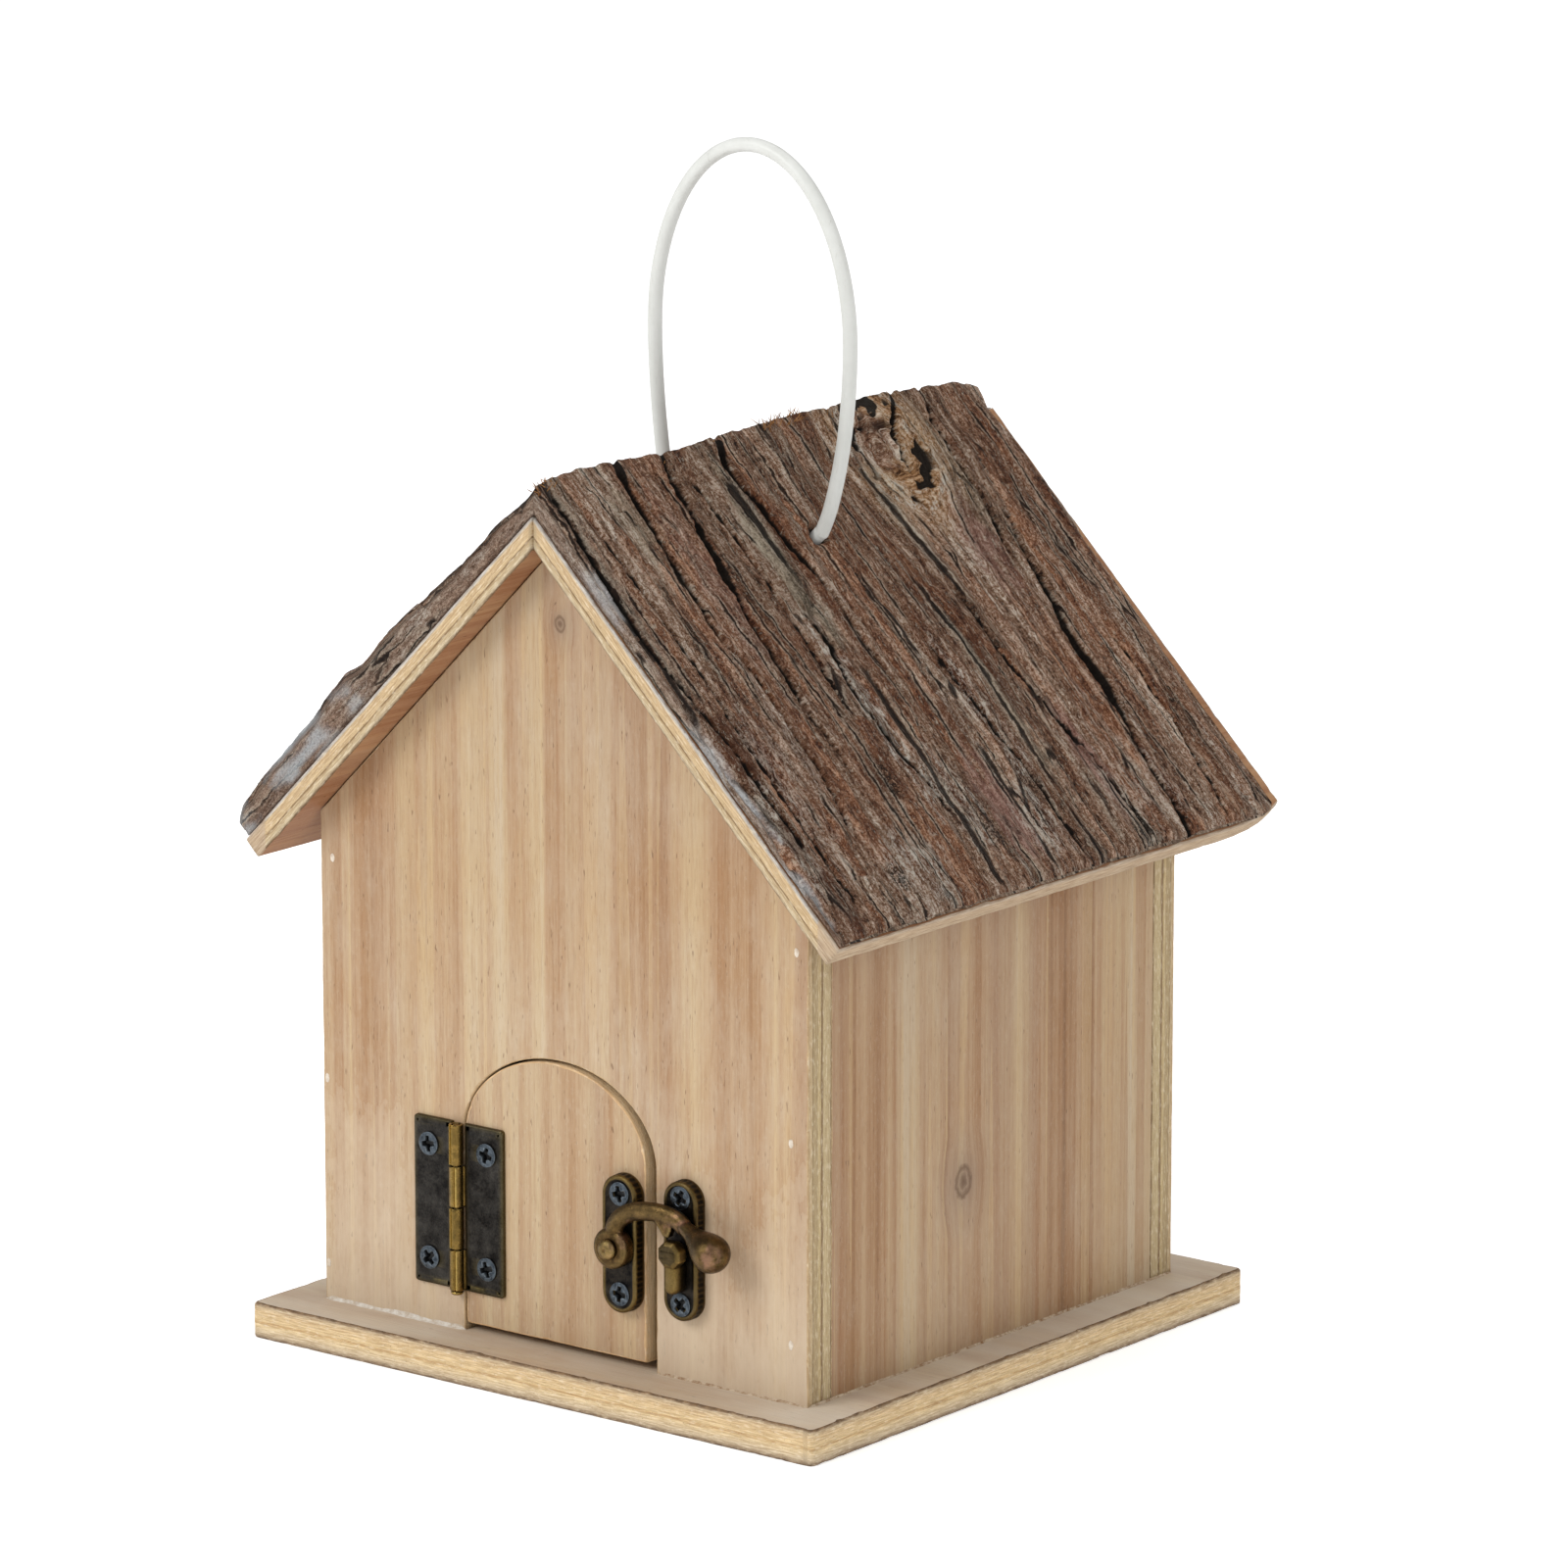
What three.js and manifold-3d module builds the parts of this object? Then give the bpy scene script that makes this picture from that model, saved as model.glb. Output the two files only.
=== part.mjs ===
// A small gable-roofed birdhouse: plywood box, bark-clad roof, arched cleaning door with a brass
// butt hinge and swing latch, and a wire carrying loop.
// Millimetres, +Z up. The origin is the bottom centre of the whole object; the door faces -Y.
import * as THREE from 'three';
import { mergeVertices } from 'three/addons/utils/BufferGeometryUtils.js';
import Module from 'manifold-3d';

const wasm = await Module();
wasm.setup();

// ---------------------------------------------------------------- driving dimensions
const board = 8; // plywood of the base, the walls and the door
const looseGap = 0.3; // clearance between pieces that are cut to fit each other
const houseY = -4.7; // middle of the base and the walls; the roof reaches further back

const baseWidth = 156;
const baseDepth = 156;
const wallWidth = 134.4;
const wallDepth = 131.2;

const ridgeUnderZ = 185.8; // underside of the roof boards where they meet; the slopes are at 45 degrees
const roofRun = 78; // from the ridge to the lower edge of a board's underside, measured along X
const roofFrontY = -78.5;
const roofBackY = 82.7;
const roofPly = 5;
const barkThickness = 5;
const barkEaveThickness = 2.5; // the bark thins towards the lower edge of the roof
const barkRidgeZ = 198.4; // the bark's sharp ridge is worn down to this height
const fissureCount = 11;
const fissureDepth = 1.8;

const doorwayX = -0.5;
const doorwayHalfWidth = 26.7;
const doorwaySpringZ = 52.6;
const doorwayRise = 20.1;
const doorLeft = -26.75;
const doorRight = 23.35;
const doorBottomZ = board + 1.8;
const doorRise = 19.3;

const entranceRadius = 16;
const entranceZ = 118;

const hingeAxisX = -28.1;
const hingeZ = 35.9;
const hingeHeight = 37.6;
const hingeLeafReach = 12.5; // from the pin's axis to the outer edge of a leaf
const hingeLeafThickness = 1;
const barrelRadius = 1.6;
const pinRadius = 0.7;
const knuckleCount = 4;
const hingeScrewOffset = 8.1;
const hingeScrewSpacing = 25.6;

const latchPlateThickness = 3;
const latchPlate = { x: 18.2, z: 35.9, width: 9.6, height: 30.7, screwSpacing: 22.2 };
const keeperPlate = { x: 34.9, z: 37.2, width: 9.4, height: 30.9, screwSpacing: 23.6 };
const pivotX = 18.2;
const pivotZ = 35.6;
const hookMiddle = 4.9; // middle of the hook in front of the wall
const hookRadius = 2.1;
const hookFlattening = 0.76; // the hook's section is an oval, thinner from front to back
const bossRadius = 4.6;
const rivetRadius = 1.3;
const knobRadius = 4.2;
const keeperHeadRadius = 3;
const keeperHeadFront = 7.2;
const keeperHeadBack = 4.3;
const keeperTail = { x: 34.5, z: 31.8, width: 3.7, height: 7.4, front: 6.2, thickness: 4 };
const tongueTipZ = 40.7;

const wireRadius = 1.6;
const wireY = -5.7;
const wireBend = 3; // radius of the bend under each roof board
const loopCentreX = 1.3;
const loopHalfWidth = 26.8;
const loopCentreZ = 221.5;
const loopRiseUp = 41.3;
const loopRiseDown = 60;
const wireHoleOffset = 18.6; // from the loop's centre line to the hole in each slope
const wireHoleRadius = 2.3;
const wireEndLength = 9;

const nailRadius = 0.6;
const nailHeadRadius = 1;
const nailLength = 20;
const wallNailHeights = [18.5, 61.5, 107];
const baseNailY = 40;
const frontBaseNailX = 47;
const backBaseNailX = 35;
const roofNailDistances = [25, 70]; // from the ridge, down the slope

const screwHeadRadius = 2.6;
const screwShankRadius = 1.2;

// ---------------------------------------------------------------- derived places
const wallFrontY = houseY - wallDepth / 2;
const wallBackY = houseY + wallDepth / 2;
const sideWallMiddleX = (wallWidth - board) / 2;
const roofDepth = roofBackY - roofFrontY;
const roofTotal = roofPly + barkThickness;
const slopeOfOne = Math.SQRT2; // vertical size of a unit measured square to the slope
const overcut = 1; // how far outside a surface its cutter starts
const farAway = 200; // reaches past the whole object

const metalColors = { brass: 0x8a6f3c, dark: 0x4d4632, zinc: 0x8d9296 };
const woodColors = { ply: 0xd2b28a, roof: 0xd9bd97, bark: 0x6b5145 };

const house = new THREE.Group();
house.name = 'birdhouse';

// ---------------------------------------------------------------- helpers
function finish(color, roughness, metalness) {
  return new THREE.MeshStandardMaterial({ color, roughness, metalness });
}

function add(name, geometry, material) {
  const mesh = new THREE.Mesh(geometry, material);
  mesh.name = name;
  house.add(mesh);
}

function toSolid(geometry) {
  const bare = geometry.clone();
  bare.deleteAttribute('normal');
  bare.deleteAttribute('uv');
  const merged = mergeVertices(bare, 1e-4);
  return new wasm.Manifold(new wasm.Mesh({
    numProp: 3,
    vertProperties: new Float32Array(merged.attributes.position.array),
    triVerts: new Uint32Array(merged.index.array),
  }));
}

function toGeometry(solid) {
  const mesh = solid.getMesh();
  const geometry = new THREE.BufferGeometry();
  geometry.setAttribute('position', new THREE.BufferAttribute(mesh.vertProperties, 3));
  geometry.setIndex(new THREE.BufferAttribute(mesh.triVerts, 1));
  geometry.computeVertexNormals();
  return geometry;
}

function join(geometries) {
  return toGeometry(geometries.map(toSolid).reduce((whole, next) => whole.add(next)));
}

function cut(geometry, cutters) {
  return toGeometry(cutters.map(toSolid).reduce((whole, next) => whole.subtract(next), toSolid(geometry)));
}

// Stands a flat outline, drawn in X and Z, upright, with its front face at frontY.
function upright(shape, frontY, thickness, options = {}) {
  const geometry = new THREE.ExtrudeGeometry(shape, {
    depth: thickness, bevelEnabled: false, curveSegments: 18, ...options,
  });
  return geometry.rotateX(Math.PI / 2).translate(0, frontY + thickness, 0);
}

// The same with its edges chamfered, for cast and stamped metal.
function uprightChamfered(shape, frontY, thickness, chamfer) {
  return upright(shape, frontY + chamfer, thickness - 2 * chamfer, {
    bevelEnabled: true, bevelThickness: chamfer, bevelSize: chamfer, bevelOffset: -chamfer,
    bevelSegments: 1, curveSegments: 8,
  });
}

function block(x0, x1, y0, y1, z0, z1) {
  const geometry = new THREE.BoxGeometry(x1 - x0, y1 - y0, z1 - z0);
  return geometry.translate((x0 + x1) / 2, (y0 + y1) / 2, (z0 + z1) / 2);
}

// Turns a profile of [radius, distance] pairs about +Z, then aims that axis along direction from point.
function turned(profile, point, direction, sides) {
  const outline = profile.map(([radius, distance]) => new THREE.Vector2(radius, distance));
  const geometry = new THREE.LatheGeometry(outline, sides).rotateX(Math.PI / 2);
  const aim = new THREE.Quaternion().setFromUnitVectors(
    new THREE.Vector3(0, 0, 1), new THREE.Vector3(...direction).normalize());
  return geometry.applyQuaternion(aim).translate(...point);
}

function polygon(points) {
  return new THREE.Shape(points.map(([x, z]) => new THREE.Vector2(x, z)));
}

// ---------------------------------------------------------------- fasteners
const fasteners = [];

// A fastener starts at point, the top of its head, and runs along direction. The matching hole is
// its own profile with the loose gap added all round.
function addFastener(name, makeProfile, point, direction, sides, makeHead, material) {
  const body = turned(makeProfile(0), point, direction, sides);
  fasteners.push(turned(makeProfile(looseGap), point, direction, sides));
  add(name, makeHead ? makeHead(body, point) : body, material);
}

function nailProfile(gap) {
  const headTop = -2 * gap;
  const headThickness = 0.8;
  const point = 1.5;
  return [
    [0, headTop], [nailHeadRadius + gap, headTop], [nailHeadRadius + gap, headThickness + gap],
    [nailRadius + gap, headThickness + gap], [nailRadius + gap, nailLength - point],
    [0, nailLength + gap],
  ];
}

function addNail(name, point, direction) {
  addFastener(name, nailProfile, point, direction, 6, null, finish(metalColors.zinc, 0.5, 0.9));
}

function screwProfile(length) {
  const rim = 0.4;
  const cone = 1.4;
  const point = 1.5;
  return (gap) => [
    [0, -4 * gap], [screwHeadRadius + gap, -4 * gap], [screwHeadRadius + gap, rim],
    [screwShankRadius + gap, rim + cone], [screwShankRadius + gap, length - point],
    [0, length + gap],
  ];
}

// A cross-shaped driver recess, sunk into the head of a screw that faces -Y.
function cutCrossRecess(body, [x, y, z]) {
  const reach = 1.45;
  const halfSlot = 0.4;
  const depth = 0.9;
  return cut(body, [
    block(x - reach, x + reach, y - overcut, y + depth, z - halfSlot, z + halfSlot),
    block(x - halfSlot, x + halfSlot, y - overcut, y + depth, z - reach, z + reach),
  ]);
}

function addScrew(name, x, headY, z, length) {
  addFastener(name, screwProfile(length), [x, headY, z], [0, 1, 0], 12, cutCrossRecess,
    finish(metalColors.zinc, 0.35, 0.9));
}

function addWallNails() {
  const faces = [
    { name: 'front', y: wallFrontY + looseGap, direction: [0, 1, 0] },
    { name: 'back', y: wallBackY - looseGap, direction: [0, -1, 0] },
  ];
  for (const face of faces) {
    for (const [side, sign] of [['left', -1], ['right', 1]]) {
      wallNailHeights.forEach((z, i) => {
        addNail(`nail_${face.name}_${side}_${i + 1}`, [sign * sideWallMiddleX, face.y, z], face.direction);
      });
    }
  }
}

function addBaseNails() {
  const panelInset = (wallDepth - board) / 2;
  for (const [side, sign] of [['left', -1], ['right', 1]]) {
    const places = [
      [`nail_base_side_${side}_1`, sign * sideWallMiddleX, houseY - baseNailY],
      [`nail_base_side_${side}_2`, sign * sideWallMiddleX, houseY + baseNailY],
      [`nail_base_front_${side}`, sign * frontBaseNailX, houseY - panelInset],
      [`nail_base_back_${side}`, sign * backBaseNailX, houseY + panelInset],
    ];
    for (const [name, x, y] of places) {
      addNail(name, [x, y, looseGap], [0, 0, 1]);
    }
  }
}

// The point at a distance down the slope from the ridge, and a height above the boards' underside.
function onSlope(sign, downSlope, above) {
  const along = Math.SQRT1_2;
  return [sign * (downSlope + above) * along, ridgeUnderZ - (downSlope - above) * along];
}

function addRoofNails() {
  const gables = [
    { name: 'front', y: wallFrontY + board / 2 },
    { name: 'back', y: wallBackY - board / 2 },
  ];
  for (const gable of gables) {
    for (const [side, sign] of [['left', -1], ['right', 1]]) {
      roofNailDistances.forEach((distance, i) => {
        const [x, z] = onSlope(sign, distance, roofPly - looseGap);
        addNail(`nail_roof_${gable.name}_${side}_${i + 1}`, [x, gable.y, z], [-sign, 0, -1]);
      });
    }
  }
}

function addHingeScrews() {
  const headY = wallFrontY - hingeLeafThickness - looseGap;
  for (const [part, side] of [['wall', -1], ['door', 1]]) {
    for (const [level, half] of [['lower', -0.5], ['upper', 0.5]]) {
      addScrew(`hinge_screw_${part}_${level}`, hingeAxisX + side * hingeScrewOffset, headY,
        hingeZ + half * hingeScrewSpacing, 8);
    }
  }
}

function addPlateScrews(prefix, plate) {
  const headY = wallFrontY - latchPlateThickness + looseGap;
  for (const [level, half] of [['lower', -0.5], ['upper', 0.5]]) {
    addScrew(`${prefix}_screw_${level}`, plate.x, headY, plate.z + half * plate.screwSpacing, 9);
  }
}

// ---------------------------------------------------------------- wooden box
function boardFinish() {
  return finish(woodColors.ply, 0.8, 0);
}

function wallTopZ(x) {
  return ridgeUnderZ - Math.abs(x) - looseGap * slopeOfOne;
}

function addBase() {
  const halfWidth = baseWidth / 2;
  const halfDepth = baseDepth / 2;
  const plate = block(-halfWidth, halfWidth, houseY - halfDepth, houseY + halfDepth, 0, board);
  add('base_board', cut(plate, fasteners), boardFinish());
}

function addFrontWall() {
  const half = wallWidth / 2;
  const outline = new THREE.Shape();
  outline.moveTo(-half, board);
  outline.lineTo(doorwayX - doorwayHalfWidth, board);
  outline.lineTo(doorwayX - doorwayHalfWidth, doorwaySpringZ);
  outline.absellipse(doorwayX, doorwaySpringZ, doorwayHalfWidth, doorwayRise, Math.PI, 0, true);
  outline.lineTo(doorwayX + doorwayHalfWidth, board);
  outline.lineTo(half, board);
  outline.lineTo(half, wallTopZ(half));
  outline.lineTo(0, wallTopZ(0));
  outline.lineTo(-half, wallTopZ(half));
  add('front_wall', cut(upright(outline, wallFrontY, board), fasteners), boardFinish());
}

function addBackWall() {
  const half = wallWidth / 2;
  const outline = polygon([
    [-half, board], [half, board], [half, wallTopZ(half)], [0, wallTopZ(0)], [-half, wallTopZ(half)],
  ]);
  const entrance = new THREE.Path();
  entrance.absarc(0, entranceZ, entranceRadius, 0, 2 * Math.PI, false);
  outline.holes.push(entrance);
  add('back_wall', cut(upright(outline, wallBackY - board, board), fasteners), boardFinish());
}

function addSideWall(side, sign) {
  const outer = sign * wallWidth / 2;
  const inner = outer - sign * board;
  const corners = [[inner, board], [outer, board], [outer, wallTopZ(outer)], [inner, wallTopZ(inner)]];
  const outline = polygon(sign > 0 ? corners : corners.reverse());
  const wall = upright(outline, wallFrontY + board, wallDepth - 2 * board);
  add(`side_wall_${side}`, cut(wall, fasteners), boardFinish());
}

function addDoor() {
  const middle = (doorLeft + doorRight) / 2;
  const half = (doorRight - doorLeft) / 2;
  const outline = new THREE.Shape();
  outline.moveTo(doorLeft, doorBottomZ);
  outline.lineTo(doorLeft, doorwaySpringZ);
  outline.absellipse(middle, doorwaySpringZ, half, doorRise, Math.PI, 0, true);
  outline.lineTo(doorRight, doorBottomZ);
  add('door', cut(upright(outline, wallFrontY, board), fasteners), boardFinish());
}

// ---------------------------------------------------------------- roof
// Where the wire enters the bark on one slope, in X and Z.
function wireEntry(sign) {
  const x = loopCentreX + sign * wireHoleOffset;
  return [x, ridgeUnderZ + roofTotal * slopeOfOne - Math.abs(x)];
}

function wireHole(sign) {
  const [x, z] = wireEntry(sign);
  const above = 8;
  const length = 40;
  const profile = [[0, 0], [wireHoleRadius, 0], [wireHoleRadius, length], [0, length]];
  return turned(profile, [x + sign * above, wireY, z + above], [-sign, 0, -1], 16);
}

// Everything on the far side of the ridge, which the mitre takes off a slab.
function beyondRidge(sign) {
  const near = sign * looseGap / 2;
  const far = -sign * farAway;
  return block(Math.min(near, far), Math.max(near, far), -farAway, farAway, 0, 2 * farAway);
}

function addRoofBoard(side, sign) {
  const near = looseGap / 2;
  const corners = [
    [near, ridgeUnderZ - near],
    [roofRun, ridgeUnderZ - roofRun],
    [roofRun + roofPly / slopeOfOne, ridgeUnderZ - roofRun + roofPly / slopeOfOne],
    [near, ridgeUnderZ + roofPly * slopeOfOne - near],
  ].map(([x, z]) => [sign * x, z]);
  const outline = polygon(sign > 0 ? corners : corners.reverse());
  const slab = upright(outline, roofFrontY, roofDepth);
  add(`roof_board_${side}`, cut(slab, [...fasteners, wireHole(sign)]), finish(woodColors.roof, 0.8, 0));
}

// The bark's section across the slope: X runs along the ridge and Y is the height above the boards'
// underside. It is flat below and fissured above.
function barkSection(phase) {
  const bottom = roofPly + looseGap;
  const top = roofTotal;
  const wornEdge = 1.2;
  const pitch = roofDepth / (fissureCount + 1);
  const outline = new THREE.Shape();
  outline.moveTo(roofFrontY, bottom);
  outline.lineTo(roofFrontY, top - wornEdge);
  outline.lineTo(roofFrontY + wornEdge, top);
  for (let i = 1; i <= fissureCount; i += 1) {
    const y = roofFrontY + (i + 0.28 * Math.sin(7 * i + phase)) * pitch;
    const halfWidth = 1.2 + 0.5 * Math.sin(3 * i + phase);
    outline.lineTo(y - halfWidth, top - 0.4 * (1 + Math.sin(5 * i + phase)));
    outline.lineTo(y, top - fissureDepth);
    outline.lineTo(y + halfWidth, top);
  }
  outline.lineTo(roofBackY - wornEdge, top);
  outline.lineTo(roofBackY, top - wornEdge);
  outline.lineTo(roofBackY, bottom);
  return outline;
}

// Lowers the bark's upper side at one end of the swept section.
function thinAtEave(slab, eaveEnd) {
  const bottom = roofPly + looseGap;
  const share = (roofPly + barkEaveThickness - bottom) / (roofTotal - bottom);
  const points = slab.getAttribute('position');
  for (let i = 0; i < points.count; i += 1) {
    if (Math.abs(points.getZ(i) - eaveEnd) < 1) {
      points.setY(i, bottom + share * (points.getY(i) - bottom));
    }
  }
}

function addBarkSlab(side, sign) {
  const overRidge = roofTotal + looseGap;
  const eave = roofRun * slopeOfOne;
  const down = new THREE.Vector3(sign, 0, -1).normalize();
  const up = new THREE.Vector3(sign, 0, 1).normalize();
  // The section is swept down the right slope and up the left one, so that neither slab is mirrored.
  const sweep = down.clone().multiplyScalar(sign);
  const start = down.clone().multiplyScalar(sign > 0 ? -overRidge : eave);
  const length = overRidge + eave;
  const slab = new THREE.ExtrudeGeometry(barkSection(sign), { depth: length, bevelEnabled: false });
  thinAtEave(slab, sign > 0 ? length : 0);
  slab.applyMatrix4(new THREE.Matrix4().makeBasis(new THREE.Vector3(0, 1, 0), up, sweep));
  slab.translate(start.x, 0, start.z + ridgeUnderZ);
  const wornRidge = block(-farAway, farAway, -farAway, farAway, barkRidgeZ, farAway + barkRidgeZ);
  const trimmed = cut(slab, [beyondRidge(sign), wornRidge, wireHole(sign)]);
  add(`bark_slab_${side}`, trimmed, finish(woodColors.bark, 0.95, 0));
}

// ---------------------------------------------------------------- wire loop
// Points on one half of the wire, from its bent end under the roof board out through the hole.
function wireTail(sign) {
  const along = Math.SQRT1_2;
  const inward = [-sign * along, -along];
  const down = [sign * along, -along];
  const [entryX, entryZ] = wireEntry(sign);
  const at = (depth, side) => new THREE.Vector3(
    entryX + depth * inward[0] + side * down[0], wireY, entryZ + depth * inward[1] + side * down[1]);
  const lowest = roofTotal + wireBend;
  const points = [at(lowest, wireBend + wireEndLength), at(lowest, wireBend + wireEndLength / 2)];
  for (let angle = 90; angle >= 0; angle -= 22.5) {
    const turn = THREE.MathUtils.degToRad(angle);
    points.push(at(roofTotal + wireBend * Math.sin(turn), wireBend * (1 - Math.cos(turn))));
  }
  const stub = 1.2; // the wire leaves the bark square to the slope
  points.push(at(roofTotal / 2, 0), at(0, 0), at(-stub, 0));
  return points;
}

function wirePath() {
  const lowest = 35; // degrees below the loop's widest point where the ends turn in towards the holes
  const loop = [];
  for (let angle = -lowest; angle <= 180 + lowest; angle += 12.5) {
    const turn = THREE.MathUtils.degToRad(angle);
    const rise = Math.sin(turn) > 0 ? loopRiseUp : loopRiseDown;
    loop.push(new THREE.Vector3(
      loopCentreX + loopHalfWidth * Math.cos(turn), wireY, loopCentreZ + rise * Math.sin(turn)));
  }
  return new THREE.CatmullRomCurve3([...wireTail(1), ...loop, ...wireTail(-1).reverse()]);
}

function disc(radius) {
  return new THREE.Shape().absarc(0, 0, radius, 0, 2 * Math.PI, false);
}

function addWire() {
  const geometry = new THREE.ExtrudeGeometry(disc(wireRadius), {
    steps: 84, curveSegments: 5, bevelEnabled: false, extrudePath: wirePath(),
  });
  add('hanging_wire', geometry, finish(0xd9dbd8, 0.4, 0));
}

// ---------------------------------------------------------------- butt hinge
const hingeBottomZ = hingeZ - hingeHeight / 2;
const hingeAxisY = wallFrontY - barrelRadius;

function alongHinge(radius, z0, z1, sides) {
  const geometry = new THREE.CylinderGeometry(radius, radius, z1 - z0, sides).rotateX(Math.PI / 2);
  return geometry.translate(hingeAxisX, hingeAxisY, (z0 + z1) / 2);
}

// A leaf with its share of the knuckles: the door's start at the bottom, the wall's one higher.
function addHingeLeaf(part, side) {
  const backY = wallFrontY;
  const frontY = wallFrontY - hingeLeafThickness;
  const outer = hingeAxisX + side * hingeLeafReach;
  const inner = hingeAxisX + side * (barrelRadius + looseGap);
  const pitch = hingeHeight / knuckleCount;
  const pieces = [block(Math.min(outer, inner), Math.max(outer, inner), frontY, backY,
    hingeBottomZ, hingeBottomZ + hingeHeight)];
  for (let i = side > 0 ? 0 : 1; i < knuckleCount; i += 2) {
    const z0 = hingeBottomZ + i * pitch + looseGap / 2;
    const z1 = hingeBottomZ + (i + 1) * pitch - looseGap / 2;
    pieces.push(alongHinge(barrelRadius, z0, z1, 16));
    pieces.push(block(Math.min(inner, hingeAxisX), Math.max(inner, hingeAxisX), frontY, backY, z0, z1));
  }
  const bore = alongHinge(pinRadius + looseGap, hingeBottomZ - overcut,
    hingeBottomZ + hingeHeight + overcut, 12);
  add(`hinge_leaf_${part}`, cut(join(pieces), [bore, ...fasteners]), finish(metalColors.dark, 0.4, 0.9));
}

function addHingePin() {
  const headThickness = 0.8;
  const headRadius = barrelRadius - 0.2;
  const profile = [
    [0, 0], [headRadius - 0.3, 0], [headRadius, 0.3], [headRadius, headThickness],
    [pinRadius, headThickness], [pinRadius, headThickness + hingeHeight], [0, headThickness + hingeHeight],
  ];
  const start = [hingeAxisX, hingeAxisY, hingeBottomZ - headThickness - looseGap / 2];
  add('hinge_pin', turned(profile, start, [0, 0, 1], 12), finish(metalColors.brass, 0.35, 0.9));
}

// ---------------------------------------------------------------- swing latch
// An upright outline with round ends.
function stadium(plate, inset = 0) {
  const half = plate.width / 2 - inset;
  const straight = (plate.height - plate.width) / 2;
  const outline = new THREE.Shape();
  outline.absarc(plate.x, plate.z + straight, half, 0, Math.PI, false);
  outline.absarc(plate.x, plate.z - straight, half, Math.PI, 2 * Math.PI, false);
  return outline;
}

// A cast plate with a shallow tray in its face that leaves a rim all round.
function castPlate(plate) {
  const frontY = wallFrontY - latchPlateThickness;
  const rim = 0.9;
  const trayDepth = 0.4;
  const chamfer = 0.4;
  const body = uprightChamfered(stadium(plate), frontY, latchPlateThickness, chamfer);
  const tray = upright(stadium(plate, rim), frontY - overcut, overcut + trayDepth, { curveSegments: 8 });
  return cut(body, [tray]);
}

const hookFront = hookMiddle + hookRadius * hookFlattening;
const rivetHeadHeight = 1.3;
const rivetTailRadius = 2.2;
const rivetTailHeight = 0.8;
const rivetTop = hookFront + looseGap + rivetHeadHeight;

function addRivet() {
  const end = rivetTop - looseGap;
  const headRadius = 2.3;
  const profile = [
    [0, 0], [1.4, 0.15], [2.1, 0.6], [headRadius, rivetHeadHeight - 0.2], [headRadius, rivetHeadHeight],
    [rivetRadius, rivetHeadHeight], [rivetRadius, end - rivetTailHeight],
    [rivetTailRadius, end - rivetTailHeight], [rivetTailRadius, end], [0, end],
  ];
  const rivet = turned(profile, [pivotX, wallFrontY - rivetTop, pivotZ], [0, 1, 0], 16);
  add('latch_rivet', rivet, finish(metalColors.brass, 0.35, 0.9));
}

function addLatchPlate() {
  const pocketTop = overcut + latchPlateThickness - rivetTailHeight - 2 * looseGap;
  const end = overcut + latchPlateThickness + overcut;
  const pivotHole = turned([
    [0, 0], [rivetRadius + looseGap, 0], [rivetRadius + looseGap, pocketTop],
    [rivetTailRadius + looseGap, pocketTop], [rivetTailRadius + looseGap, end], [0, end],
  ], [pivotX, wallFrontY - latchPlateThickness - overcut, pivotZ], [0, 1, 0], 16);
  const plate = cut(castPlate(latchPlate), [pivotHole, ...fasteners]);
  add('latch_plate', plate, finish(metalColors.dark, 0.4, 0.9));
}

// The arm's centre line, in X and Z from the pivot.
function hookArm() {
  const line = [[0, 1.5], [0.3, 4], [1.9, 6.7], [4.9, 8.7], [8.7, 9.6], [13, 9.9], [17.2, 9.3], [20.2, 7.4]];
  const path = new THREE.CatmullRomCurve3(line.map(([x, z]) => new THREE.Vector3(x, 0, z)));
  const arm = new THREE.ExtrudeGeometry(disc(hookRadius), {
    steps: 24, curveSegments: 6, bevelEnabled: false, extrudePath: path,
  });
  arm.scale(1, hookFlattening, 1);
  return arm.translate(pivotX, wallFrontY - hookMiddle, pivotZ);
}

// The pear-shaped knob, turned about a line from the end of the arm. It leans forward, so that it
// passes in front of the keeper when the hook swings.
function hookKnob() {
  const profile = [
    [0, 0], [1.3, 0.4], [1.7, 2], [2, 4.2], [2.8, 6.6], [3.7, 9], [knobRadius, 11.3],
    [3.8, 13.2], [2.7, 14.6], [1.3, 15.4], [0, 15.6],
  ];
  return turned(profile, [pivotX + 18.9, wallFrontY - hookMiddle, pivotZ + 8.4], [10.4, -3, -4], 20);
}

function addHook() {
  const thickness = 2 * hookRadius * hookFlattening;
  const frontY = wallFrontY - hookFront;
  const chamfer = 0.7;
  const boss = turned([
    [0, 0], [bossRadius - chamfer, 0], [bossRadius, chamfer], [bossRadius, thickness], [0, thickness],
  ], [pivotX, frontY, pivotZ], [0, 1, 0], 20);
  const tongueThickness = 2.2;
  const tongue = upright(polygon([[30, 44], [32.6, tongueTipZ], [34.1, tongueTipZ], [35, 44]]),
    wallFrontY - hookMiddle - tongueThickness / 2, tongueThickness);
  const boreRadius = rivetRadius + looseGap;
  const boreLength = overcut + thickness + overcut;
  const bore = turned([[0, 0], [boreRadius, 0], [boreRadius, boreLength], [0, boreLength]],
    [pivotX, frontY - overcut, pivotZ], [0, 1, 0], 16);
  const hook = cut(join([boss, hookArm(), hookKnob(), tongue]), [bore]);
  add('latch_hook', hook, finish(metalColors.brass, 0.35, 0.9));
}

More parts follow.
